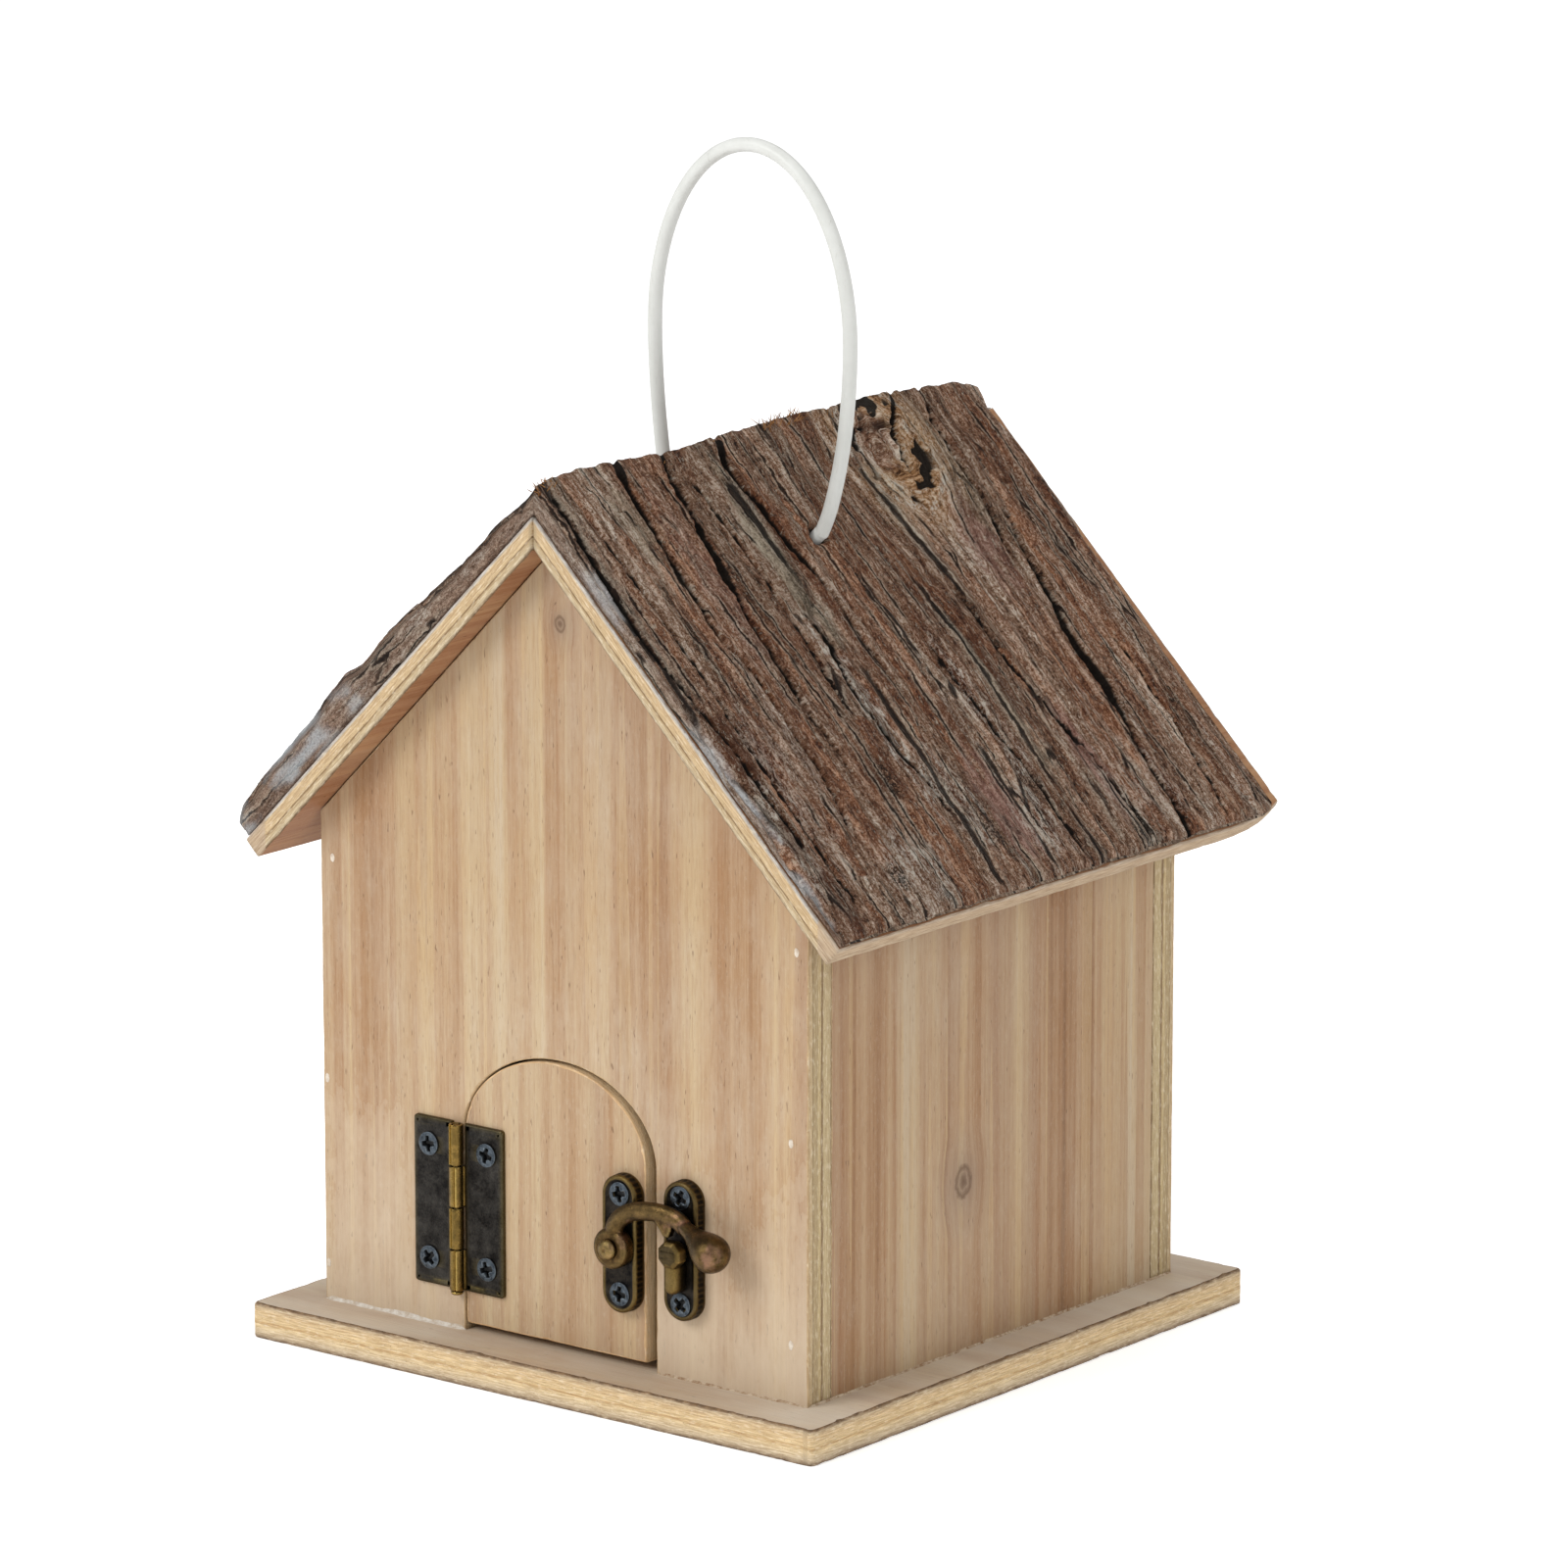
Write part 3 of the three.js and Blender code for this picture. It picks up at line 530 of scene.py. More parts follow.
def make_base():
    x, y0, y1, r = base_high[0], base_low[1], base_high[1], 1.3
    outline = [*arc(x - r, y0 + r, r, r, -90, 0, 5), *arc(x - r, y1 - r, r, r, 0, 90, 5),
               *arc(-x + r, y1 - r, r, r, 90, 180, 5), *arc(-x + r, y0 + r, r, r, 180, 270, 5)]
    top = base_high[2]
    board("base_board_worn", HOUSE, "plywood", [outline], lambda a, b, d: np.stack([a, b, top - d], -1),
          BOARD, base_face, base_edge, rounding=0.55, chips=1.3, seed=3)


def make_front_wall():
    arch = arc(DOORWAY_X, SPRING_Z, DOORWAY_HALF, DOORWAY_RISE, 180, 0, 61)
    low = front_low[2]
    bottom = [(DOORWAY_X - DOORWAY_HALF, low), *arch, (DOORWAY_X + DOORWAY_HALF, low)]
    board("front_wall_worn", HOUSE, "plywood", [gable_outline(front_low, front_high, bottom)],
          upright_place(front_low[1]), BOARD, front_face, wall_edge, rounding=0.3, seed=11)


def make_back_wall():
    entrance = arc(0, ENTRANCE_Z, ENTRANCE_RADIUS, ENTRANCE_RADIUS, 360, 5, 72)
    board("back_wall_worn", HOUSE, "plywood", [gable_outline(back_low, back_high), entrance],
          upright_place(back_high[1], -1), BOARD, back_face, wall_edge, rounding=0.3, seed=21)


def make_side_wall(side, sign):
    low, high = side_low, side_high
    top = high[2] - BOARD - 0.2
    outline = [(low[1], low[2]), (high[1], low[2]), (high[1], top), (low[1], top)]

    def place(a, b, d):
        return np.stack([sign * (high[0] - d), a, b + d * (b - low[2]) / (top - low[2])], -1)

    board(f"side_wall_{side}_worn", HOUSE, "plywood", [outline], place, BOARD, side_face, wall_edge,
          rounding=0.2, seed=31 + sign)


def make_door():
    middle = (door_low[0] + door_high[0]) / 2
    half = (door_high[0] - door_low[0]) / 2
    arch = arc(middle, SPRING_Z, half, door_high[2] - SPRING_Z, 0, 180, 61)
    outline = [(door_low[0], door_low[2]), (door_high[0], door_low[2]), *arch]
    board("door_worn", DOOR, "plywood", [outline], upright_place(door_low[1]), BOARD, door_face, door_edge,
          rounding=0.35, chips=1.4, seed=41)


def eave_at(u):
    """How far down the slope the roof reaches: its rear corner is worn off."""
    t = np.clip((u - (ROOF_DEPTH - EAVE_CORNER_ALONG)) / EAVE_CORNER_ALONG, 0, 1)
    return SLOPE - EAVE_CORNER_UP * (1 - np.sqrt(1 - 0.96 * t * t)) / 0.8


def wire_entry(sign):
    """Where the wire enters one slope, as (u, v) on top of the bark."""
    x = abs(wire_x + sign * WIRE_HOLE_OFFSET)
    return wire_y - roof_low[1], x * ROOT2 - (ROOF_PLY + 5)


MITRE_GAP = 0.2  # how far each roof board stays from the ridge line


def make_roof_board(side, sign):
    from_rear = (EAVE_CORNER_ALONG, 15, 9, 5, 2.5, 1, 0)
    corner = [(ROOF_DEPTH - t, float(eave_at(ROOF_DEPTH - t))) for t in from_rear]
    outline = [(0, MITRE_GAP), (ROOF_DEPTH, MITRE_GAP), *reversed(corner), (0, SLOPE)]
    if sign < 0:
        outline = outline[::-1]
    u, v = wire_entry(sign)
    hole = arc(u, v + 10 * v / SLOPE, 2.3, 2.3, 0, 345, 24)

    def place(a, b, d):
        height = ROOF_PLY - d
        return on_slope(sign, a, b - height * (1 - b / SLOPE) + MITRE * ROOT2, height)

    loops = [counter_clockwise(outline), hole]
    board(f"roof_board_{side}_worn", HOUSE, "roof_plywood", loops, place, ROOF_PLY, roof_face, roof_edge,
          rounding=0.4, chips=1.5, seed=51 + sign)


def counter_clockwise(outline):
    area = sum(a[0] * b[1] - b[0] * a[1] for a, b in zip(outline, outline[1:] + outline[:1]))
    return list(outline) if area > 0 else list(outline)[::-1]


make_base()
make_front_wall()
make_back_wall()
make_door()
for side, sign in (("left", -1), ("right", 1)):
    make_side_wall(side, sign)
    make_roof_board(side, sign)


# ---------------------------------------------------------------- bark
# Fissures run down the slope. Each is a depth and a line of (v, u, half width).
FISSURES = [
    (3.4, [(-10, 27, 0.9), (0, 26, 1.1), (12, 24.5, 0.9), (22, 24, 0.8), (38, 23.5, 0.5), (46, 25.5, 0.5),
           (62, 26, 0.4), (74, 26, 0.4), (86, 23, 0.2)]),
    (3.4, [(-10, 43, 0.5), (0, 41, 0.8), (12, 39, 0.9), (25, 37, 1.1), (35, 35.5, 0.5), (52, 35, 0.8),
           (60, 34.5, 0.3), (75, 35, 0.2)]),
    (1.6, [(-2, 47, 0.2), (6, 47, 0.4), (14, 48, 0.4), (40, 48, 0.3), (60, 46, 0.2)]),
    (3.0, [(-9, 61.5, 1.0), (-4, 60.5, 1.0), (3, 60.5, 0.7), (8, 62, 0.9), (15, 62, 0.6), (23, 63, 0.9),
           (30, 64.5, 0.5), (47, 64.5, 0.4), (60, 66, 0.2)]),
    (1.8, [(-6, 4, 0.3), (8, 2.6, 0.6), (23, 1.5, 0.5), (38, 2, 0.4), (60, 6, 0.5), (90, 7, 0.4)]),
    (1.6, [(2, 9, 0.4), (19, 10, 0.3), (41, 11, 0.35), (56, 10.5, 0.3), (80, 10.5, 0.4), (104, 11, 0.3)]),
    (2.6, [(-6, 134, 0.3), (0, 132.5, 0.5), (8, 131, 0.5), (19, 130.5, 0.4), (26, 129, 0.8),
           (35, 127.5, 0.3)]),
    (3.6, [(24, 135, 0.2), (33, 133, 0.6), (41, 131.5, 0.8), (51, 130, 0.9), (61, 128.5, 1.2),
           (69, 129, 1.6), (78, 128, 1.0), (86, 125.5, 0.6), (96, 125, 0.4), (104, 124.5, 0.6),
           (111, 124, 0.8)]),
    (1.6, [(35, 53, 0.2), (43, 53.5, 0.6), (54, 52, 0.5), (71, 52.5, 0.6), (80, 54, 0.4), (90, 55, 0.5)]),
    (3.0, [(-10, 123, 0.8), (-1, 117, 0.9), (4, 115.5, 0.6), (10, 114, 0.3)]),
    (1.5, [(50, 84, 0.3), (66, 85, 0.5), (84, 87, 0.4), (108, 88, 0.5)]),
    (1.4, [(40, 103, 0.3), (58, 104, 0.5), (90, 110, 0.4), (110, 111, 0.5)]),
    (1.4, [(60, 142, 0.3), (84, 142, 0.5), (110, 139, 0.4)]),
]
# Patches are (u, v, half width, half length), with a strength.
RUST_PATCHES = [(43.5, 76, 4, 8, 1), (5.5, 62, 4, 11, 1), (5.5, 84, 2.5, 10, 0.9), (6, 102, 4, 11, 1),
                (62, 30, 2, 30, 0.6), (97, 60, 1.5, 18, 0.8), (27, 62, 2, 30, 0.35), (74, 66, 3, 10, 0.6),
                (146, 30, 5, 34, 0.5), (3, 18, 2, 22, 0.5)]
PALE_PATCHES = [(53, 62, 3, 26, 1), (60, 88, 6, 14, 0.8), (86, 70, 3, 26, 0.7), (5, 84, 4, 26, 0.8),
                (37, 98, 9, 12, 0.8), (24, 58, 2, 28, 0.5), (118, 96, 14, 12, 0.5), (80, 96, 6, 14, 0.7),
                (14, 70, 6, 26, 0.4)]
PAINT_SMEARS = {
    "left": [(0, 83, 4, 14, 1), (0, 111, 4, 6, 0.8)],
    "right": [(0, 20, 1.4, 8, 0.7), (0, 70, 1.8, 15, 0.9), (0, 98, 1.6, 10, 0.7)],
}
GREY_PATCHES = [(56, 24, 3.5, 28, 1), (94.5, 64, 2, 20, 0.7), (20, 6, 5, 14, 0.7), (127, 12, 6, 24, 0.6)]
PINK_PATCHES = [(71.5, 92, 6, 15, 1), (108, 86, 3, 17, 1), (120, 20, 7, 22, 0.8), (32, 24, 5, 26, 0.35)]
LICHEN_PATCHES = [(27.5, 99, 3, 4, 1), (64, 92, 3, 9, 0.7), (86, 90, 3, 8, 0.7), (100, 14, 3, 3, 0.6),
                  (44, 78, 1.5, 6, 0.9)]
KNOT_U, KNOT_V = 112.0, 2.0
HEART_U, HEART_V = 107.0, -1.0  # the bare middle of the knot
BARK_COLUMNS, BARK_ROWS, SIDE_LEVELS = 324, 244, 6
BARK_GAP = 0.3  # between bark and board
RIDGE_GAP = 0.03  # from each slab to the ridge line
BARK_TOP, BARK_EAVE = 10.2, 7.5  # heights of its upper side above the boards' underside
BARK_REAR = ROOF_DEPTH - 3.6
# The left slab is thicker: its height above the boards' underside, at distances down the slope.
LEFT_DOWN = (-9, 0, 18, 34, 46, 57, 62, 68, 74, 93, 107, 113)
LEFT_HEIGHT = (10.2, 10.2, 10.6, 11.8, 12.6, 12.4, 13.6, 13.5, 12.7, 12.1, 11.6, 10.2)
# The worn ridge: how high the bark stands there, at distances from the roof's front edge.
RIDGE_ALONG = (0, 6, 14, 27, 36, 45, 55, 65, 90, 120, 140, 148, 153, 156, 158)
RIDGE_HEIGHT = (9.3, 10.0, 10.5, 10.4, 10.1, 9.8, 10.3, 10.6, 11.1, 11.2, 10.5, 10.1, 9.4, 8.4, 6.8)


def patches(u, v, list_of, seed):
    """A mask with ragged ends for each patch."""
    mask = 0 * u
    ragged = 0.8 * layered_noise(u / 1.6, v / 6, seed, 4)
    for cu, cv, width, length, strength in list_of:
        away = np.hypot((u - cu) / width, (v - cv) / length)
        mask = np.maximum(mask, strength * step(1.15, 0.45, away + ragged))
    return mask


def left_fissures():
    """The left slab's own fissures: the same kind of lines, spread another way."""
    made = []
    for i in range(11):
        u = 7 + 14.3 * i + 4 * math.sin(5.1 * i)
        start = -10 + 30 * lattice(i, 1, 8)
        width = 0.4 + 0.7 * lattice(i, 2, 8)
        line = [(start + 17 * k, u + 2.5 * math.sin(1.3 * k + 2 * i), width * (1 - 0.12 * k))
                for k in range(6)]
        made.append((1.6 + 1.8 * lattice(i, 3, 8), line))
    return made


def fissure_cut(u, v, fissures, seed):
    """How deep the fissures cut at each point, and how much painted shade they get there."""
    cut, dark = 0 * u, 0 * u
    jitter = 0.5 * layered_noise(v / 5, 0 * v, seed, 3)
    for depth, line in fissures:
        vs, us, widths = (np.array(column, float) for column in zip(*line))
        half = np.interp(v, vs, widths) * (1 + 0.3 * layered_noise(v / 6, u * 0 + us[0], seed + 1, 2))
        ends = step(vs[0] - 3, vs[0] + 2, v) * step(vs[-1] + 2, vs[-1] - 5, v)
        away = np.abs(u - np.interp(v, vs, us) - jitter) / np.maximum(half, 0.45)
        cut = np.maximum(cut, depth * ends * step(1.5, 0.45, away))
        dark = np.maximum(dark, ends * step(1.7, 0.9, away))
    return cut, dark


def knot_warp(u, v):
    """The grain of the right slab parts round its knot."""
    du, dv = u - KNOT_U, (v - KNOT_V) * 0.8
    away = np.hypot(du, dv)
    push = 9 * np.exp(-((away / 20) ** 2))
    return u - push * du / (away + 2.0), away


def bark_relief(u, v, across, seed):
    """The bark's plates, strands and flakes in millimetres, with its tone by plates and its grooves."""
    border, plate = cells(across / 7.5, v / 75 + 0.5 * smooth_noise(across / 8, v / 40, seed + 3), seed + 4)
    small_border, small_plate = cells(across / 2.3, v / 26 + 0.6 * plate, seed + 7)
    fibre = layered_noise(across / 1.1, v / 15, seed + 12, 3)
    strand = layered_noise(across / 3.4, v / 40, seed + 13, 3)
    flake = 5 * layered_noise(across / 4.0, v / 7, seed + 14, 4)
    flakes = (np.floor(flake) + step(0.0, 0.3, flake - np.floor(flake))) / 5
    lumps = layered_noise(u / 2.0, v / 2.6, seed + 18, 3)
    groove = np.exp(-((border / 0.07) ** 2)) * step(-0.1, 0.6, layered_noise(u / 14, v / 40, seed + 15, 2))
    seam = np.exp(-((small_border / 0.2) ** 2)) * step(0.0, 0.7, layered_noise(u / 9, v / 20, seed + 16, 2))
    relief = 0.9 * (plate - 0.5) + 0.35 * (small_plate - 0.5) + 0.25 * strand + 0.2 * fibre + 0.5 * flakes
    relief = relief + 0.2 * lumps - 0.8 * groove - 0.35 * seam
    return relief + 0.5 * layered_noise(u / 26, v / 45, seed + 17, 2), plate, groove, flakes


def knot_relief(u, v, relief, from_knot, seed):
    """Raises rings round the knot, and returns them with its holes and its pale swirl."""
    near = step(21, 12, from_knot)
    wobble = from_knot + 1.6 * layered_noise(u / 6, v / 6, seed + 30, 3)
    rings = near * (0.5 + 0.5 * np.sin(wobble * 2.1))
    core = step(10, 6, from_knot)
    crumbs = layered_noise(u / 2.4, v / 2.4, seed + 31, 4)
    relief = relief * (1 - 0.6 * near) + near * (0.45 * rings + 0.3) + core * (1.3 * crumbs - 0.7)
    holes = step(16, 9, from_knot) * step(0.10, 0.34, layered_noise(u / 4.2, v / 4.2, seed + 33, 3))
    swirl = step(7, 11, from_knot) * near * step(0.55, 0.95, 0.5 + 0.5 * np.sin(wobble * 1.5))
    return relief - 1.1 * holes, holes, swirl


def bark_surface(u, v, seed, fissures, features):
    """Relief in millimetres, and the masks that colour it. features adds the knot and patches."""
    warped, from_knot = knot_warp(u, v) if features else (u, 99 + 0 * u)
    across = warped + 2.2 * layered_noise(u / 32, v / 60, seed, 3)
    across = across + 0.5 * layered_noise(u / 3.5, v / 6, seed + 2, 3)
    relief, plate, groove, flakes = bark_relief(u, v, across, seed)
    cut, dark = fissure_cut(u, v, fissures, seed + 20)
    holes, swirl, rusty, dusty = 0 * u, 0 * u, 0 * u, 0 * u
    if features:
        relief, holes, swirl = knot_relief(u, v, relief, from_knot, seed)
        rusty = np.clip(1.5 * patches(u, v, RUST_PATCHES, seed + 40), 0, 1)
        dusty = patches(u, v, PALE_PATCHES, seed + 43)
    # Painted shade: dark in the fissures, grooves, knot holes and low spots of the relief.
    deep = np.clip(0.85 * dark + 0.35 * groove - 0.2 * (relief + 0.4), 0, 1)
    deep = np.maximum.reduce([deep, step(0.8, 1.8, cut), 0.85 * holes])
    stains = step(0.25, 0.6, layered_noise(across / 6, v / 22, seed + 41, 4))
    rust = np.maximum(rusty, 0.6 * stains * (flakes < 0))
    edges = step(0.25, 0.75, layered_noise(across / 2.0, v / 26, seed + 42, 4))
    edges = edges * step(-0.2, 0.6, v / 110 - 0.25)
    pale = np.maximum(np.maximum(dusty, 0.8 * edges) * (1 - 0.8 * rust), 0.9 * swirl)
    return relief - cut, deep, rust, pale, plate, across, from_knot


def ridge_height(u):
    """The worn ridge that both slabs share."""
    notch = sum(0.5 * np.exp(-(((u - at) / 0.9) ** 2)) for at in (27, 43, 61.5, 101, 124, 134))
    return np.interp(u, RIDGE_ALONG, RIDGE_HEIGHT) + 0.3 * layered_noise(u / 2.6, 0 * u, 6, 3) - notch


def bark_grid(seed):
    """The slab's grid of (u, v) with its ragged edges: front, rear, lower edge and height at the ridge."""
    t, s = np.meshgrid(np.linspace(0, 1, BARK_COLUMNS), np.linspace(0, 1, BARK_ROWS), indexing="ij")
    v_guess = -9 + s * (SLOPE + 9)
    front = 0.5 + 0.45 * layered_noise(v_guess / 7, 0 * s, seed + 50, 4)
    rear = BARK_REAR + 0.6 * layered_noise(v_guess / 9, 0 * s, seed + 51, 4)
    u = front + t * (rear - front)
    ridge = ridge_height(u[:, :1])
    corner = 4 * (1 - np.sqrt(1 - 0.98 * np.clip((u - BARK_REAR + 5) / 5.6, 0, 1) ** 2))
    lowest = SLOPE - 0.5 - corner - 0.5 * layered_noise(u / 5, 0 * u, seed + 52, 4)
    return u, -ridge + s * (lowest + ridge), (front, rear, lowest, ridge)


def bark_level(u, v, edges, sign, seed):
    """The slab's height above the boards' underside before its relief, lower towards its edges."""
    front, rear, lowest, ridge = edges
    level = BARK_TOP + (BARK_EAVE - BARK_TOP) * down_share(v)
    if sign < 0:
        level = np.interp(v + 1.5 * layered_noise(u / 20, v / 20, seed + 53, 2), LEFT_DOWN, LEFT_HEIGHT)
    level = level - (BARK_TOP - ridge) * step(6, -9, v)
    level = level - 3.4 * np.clip((u - (rear - 8)) / 8, 0, 1) ** 2.4 * step(-9, -2, v)
    level = level - 0.9 * np.clip(1 - (u - front) / 1.8, 0, 1) ** 2
    return level - 0.8 * np.clip((v - lowest + 2.5) / 2.5, 0, 1) ** 2


def down_share(v):
    return np.clip((v + 4) / (SLOPE + 4), 0, 1)


def bark_hues(u, v, across, from_knot, seed, features):
    """Masks for grey, pink and lichen patches, and for the tan wood round the knot."""
    if not features:
        grey = 0.7 * step(0.2, 0.5, layered_noise(across / 9, v / 40, seed + 44, 3))
        pink = 0.6 * step(0.3, 0.6, layered_noise(across / 9, v / 40, seed + 45, 3))
        lichen = 0.8 * step(0.45, 0.6, layered_noise(u / 8, v / 14, seed + 46, 4))
        return triples(grey, pink, lichen), 0 * u.ravel()
    masks = [patches(u, v, GREY_PATCHES, seed + 44), patches(u, v, PINK_PATCHES, seed + 45),
             patches(u, v, LICHEN_PATCHES, seed + 46)]
    knot = step(23, 11, from_knot + 3.5 * layered_noise(u / 5, v / 5, seed + 47, 3))
    from_heart = np.hypot(u - HEART_U, v - HEART_V) + 5.0 * layered_noise(u / 3.5, v / 3.5, seed + 48, 4)
    return triples(*masks), (knot * (1 - step(11, 7, from_heart))).ravel()


def triples(*parts):
    """Three arrays as one vector for each point."""
    return np.stack(parts, -1).reshape(-1, 3)


def bark_side(side, sign, seed, outline, at_ridge, layers):
    """Adds rings down the slab's rough side, from its (u, v, height) outline to the board."""
    u, v, height = outline.T
    at_front = u < 2
    for k in range(1, SIDE_LEVELS + 1):
        sink = k / SIDE_LEVELS
        h = height + (ROOF_PLY + BARK_GAP - height) * sink
        rough = 0.4 * layered_noise(u / 1.5 + v / 1.5, h * 1.1, seed + 70, 3) * (k < SIDE_LEVELS)
        flat_u = np.clip(u + rough * np.where(u < ROOF_DEPTH / 2, 1, -1), 0.1, ROOF_DEPTH - 0.1)
        flat_v = np.where(v < -5, -h, v - 0.5 * np.abs(rough))
        points = on_slope(sign, flat_u, flat_v, h)
        points[at_ridge, 0] = sign * RIDGE_GAP
        dust = np.where(at_front, 0.75, 0.2) * (1 - 0.5 * sink)
        dust = dust * step(-0.5, 0.5, layered_noise(v / 9, h / 3, seed + 71, 3))
        paint = patches(0 * h, v + 2 * sink, PAINT_SMEARS[side], seed + 49) * step(-0.1, 0.3, sink)
        paint = paint * step(-0.15, 0.2, layered_noise(v / 14 + h / 4, h / 1.8, seed + 72, 3))
        layers["points"].append(points)
        layers["bark_place"].append(triples(flat_u + flat_v * 0.02 + h * 1.3, flat_v, 0 * h))
        # Painted shade: the rough side gets darker towards the board, under the slab's edge.
        layers["bark_tones"].append(triples(0.10 + 0.3 * sink + 0 * h, 0.25 * (1 - at_front), dust))
        layers["bark_hues"].append(triples(0.6 + 0 * h, 0.3 * at_front, 0 * h))
        layers["bark_knot"].append(0 * h)
        layers["bark_paint"].append(0.85 * at_front * paint)


def make_bark(side, sign, seed, fissures, features):
    """One slab: a relief grid on top, rough sides and a flat underside."""
    u, v, edges = bark_grid(seed)
    tall, deep, rust, pale, plate, across, from_knot = bark_surface(u, v, seed, fissures, features)
    tall = tall * step(-9, -4, v) * (0.75 + 0.25 * (1 - down_share(v)))
    entry_u, entry_v = wire_entry(sign)
    from_wire = np.hypot(u - entry_u, v - entry_v)
    pit = step(3.0, 1.9, from_wire + 0.5 * smooth_noise(u, v, seed + 60))
    height = np.maximum(bark_level(u, v, edges, sign, seed) + tall - 3.0 * pit, ROOF_PLY + BARK_GAP + 0.5)
    top = on_slope(sign, u, v, height)
    top[..., 0] = sign * np.maximum(sign * top[..., 0], RIDGE_GAP)
    hues, knot = bark_hues(u, v, across, from_knot, seed, features)
    layers = {
        "points": [top.reshape(-1, 3)],
        "bark_place": [triples(across, v, 10 * plate)],
        # The pit round the wire's hole adds painted shade to the bark's tones.
        "bark_tones": [triples(np.maximum(deep, pit), rust, pale)],
        "bark_hues": [hues],
        "bark_knot": [knot],
        "bark_paint": [patches(u, v, PAINT_SMEARS[side], seed + 49).ravel()],
    }
    index = np.arange(u.size).reshape(u.shape)
    rim = np.concatenate([index[:-1, 0], index[-1, :-1], index[:0:-1, -1], index[0, :0:-1]])
    outline = triples(u, v, height)[rim]
    bark_side(side, sign, seed, outline, np.isin(rim, index[:, 0]), layers)
    count = len(rim)
    rings = [list(rim)] + [[u.size + k * count + i for i in range(count)] for k in range(SIDE_LEVELS)]
    faces = grid_faces(*u.shape)
    for upper, lower in zip(rings, rings[1:]):
        faces += [(upper[i - 1], upper[i], lower[i], lower[i - 1]) for i in range(count)]
    faces += cap_faces([(rings[-1][0], outline[:, :2])])
    points = np.concatenate(layers.pop("points"))
    thing = piece(f"bark_{side}", points, faces, HOUSE, "bark", bark_finish(side))
    for name, parts in layers.items():
        store(thing, name, np.concatenate(parts))
    face_outwards(thing)
    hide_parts(f"bark_slab_{side}")


BARK_SHADES = ((0.04, rgb(38, 22, 13)), (0.26, rgb(92, 62, 44)), (0.50, rgb(134, 99, 76)),
               (0.74, rgb(168, 136, 112)), (0.98, rgb(230, 216, 200)))
OLIVE_SHADES = ((0.1, rgb(78, 68, 52)), (0.9, rgb(184, 172, 150)))
ROSE_SHADES = ((0.0, rgb(92, 58, 48)), (0.5, rgb(142, 102, 88)), (1.0, rgb(190, 154, 140)))
TAN_SHADES = ((0.05, rgb(70, 44, 26)), (0.35, rgb(142, 100, 62)), (0.6, rgb(188, 144, 100)),
              (0.9, rgb(222, 206, 184)))
RUST_SHADES = ((0.3, rgb(42, 20, 8)), (0.7, rgb(104, 56, 28)))


def bark_finish(side):
    """Weathered bark: its tones, then dust, cracks with painted shade and lips partly painted highlight,
    moss, painted shade in its depths and paint smears.
    """
    f = Finish(f"bark_{side}", roughness=0.88, specular=0.2)
    place = f.spot("bark_place")["Vector"]
    deep, rust, pale = f.parts(f.spot("bark_tones")["Vector"])
    grey, pink, lichen = f.parts(f.spot("bark_hues")["Vector"])
    fine = f.noise(place, (1.2, 0.34, 1), (3, 0, 0), detail=7, roughness=0.84)
    grit = f.noise(place, (1.9, 1.5, 1), (7, 3, 0), detail=7, roughness=0.88)
    color = bark_tones(f, place, fine, grit, grey, pink)
    red = f.math("MULTIPLY", rust, f.ramp(grit, (0.35, 1.0), (0.65, 0.35)))
    color = f.mix(red, color, f.ramp(fine, *RUST_SHADES))
    color = bark_specks(f, place, color, fine, grit, pale)
    long_crack, long_lip = bark_cracks(f, place, (0.12, 0.0), 0.022, (0.47, 0.53))
    short_crack, short_lip = bark_cracks(f, place, (0.30, 0.036), 0.042, (0.55, 0.61))
    frayed = f.ramp(grit, (0.44, 0.25), (0.56, 1.0))
    lip = f.math("MULTIPLY", f.math("MAXIMUM", long_lip, short_lip), frayed)
    # Lips: partly pale crumbly bark, partly painted highlight beside the cracks.
    color = f.mix(lip, color, rgb(206, 194, 174))
    crack = f.math("MAXIMUM", long_crack, short_crack)
    # Painted shade: near black inside the cracks.
    color = f.mix(crack, color, rgb(20, 12, 7))
    moss = f.math("MULTIPLY", lichen, f.ramp(grit, (0.48, 0.95), (0.56, 0.0)))
    color = f.mix(moss, color, rgb(26, 23, 18))
    # Painted shade: near black where the bark lies deep.
    color = f.mix(f.ramp(deep, (0.35, 0.0), (0.65, 0.97)), color, rgb(15, 9, 5))
    paint = f.math("MULTIPLY", f.spot("bark_paint")["Fac"], f.ramp(grit, (0.40, 0.35), (0.54, 1.0)))
    color = f.mix(paint, color, rgb(204, 208, 210))
    f.bump(f.weighted((crack, -0.6), (grit, 0.8), (fine, 1.0)), 1.0, 0.0010)
    return f.done(color)


def bark_tones(f, place, fine, grit, grey, pink):
    """The bark's own brown, warmer and darker by plates, with grey, pink and knot wood patches."""
    plate_tone = f.math("MULTIPLY", f.parts(place)[2], 0.1)
    strands = f.noise(place, (0.35, 0.025, 0.6), detail=4, roughness=0.65)
    spread = f.contrast(f.weighted((grit, 0.44), (fine, 0.32), (strands, 0.24)), 7.6, 0.56)
    color = f.ramp(spread, *BARK_SHADES)
    warm = f.noise(place, (0.14, 0.02, 0.5), (2, 9, 0), detail=3)
    color = f.mix(f.ramp(warm, (0.42, 0.0), (0.60, 0.8)), color, rgb(224, 176, 140), "MULTIPLY")
    color = f.mix(f.ramp(plate_tone, (0.05, 0.55), (0.45, 0.0)), color, rgb(196, 188, 180), "MULTIPLY")
    knot = f.spot("bark_knot")["Fac"]
    patch_shades = ((grey, 0.7, OLIVE_SHADES), (pink, 0.9, ROSE_SHADES), (knot, 0.95, TAN_SHADES))
    for mask, strength, shades in patch_shades:
        color = f.mix(f.math("MULTIPLY", mask, strength), color, f.ramp(spread, *shades))
    return color


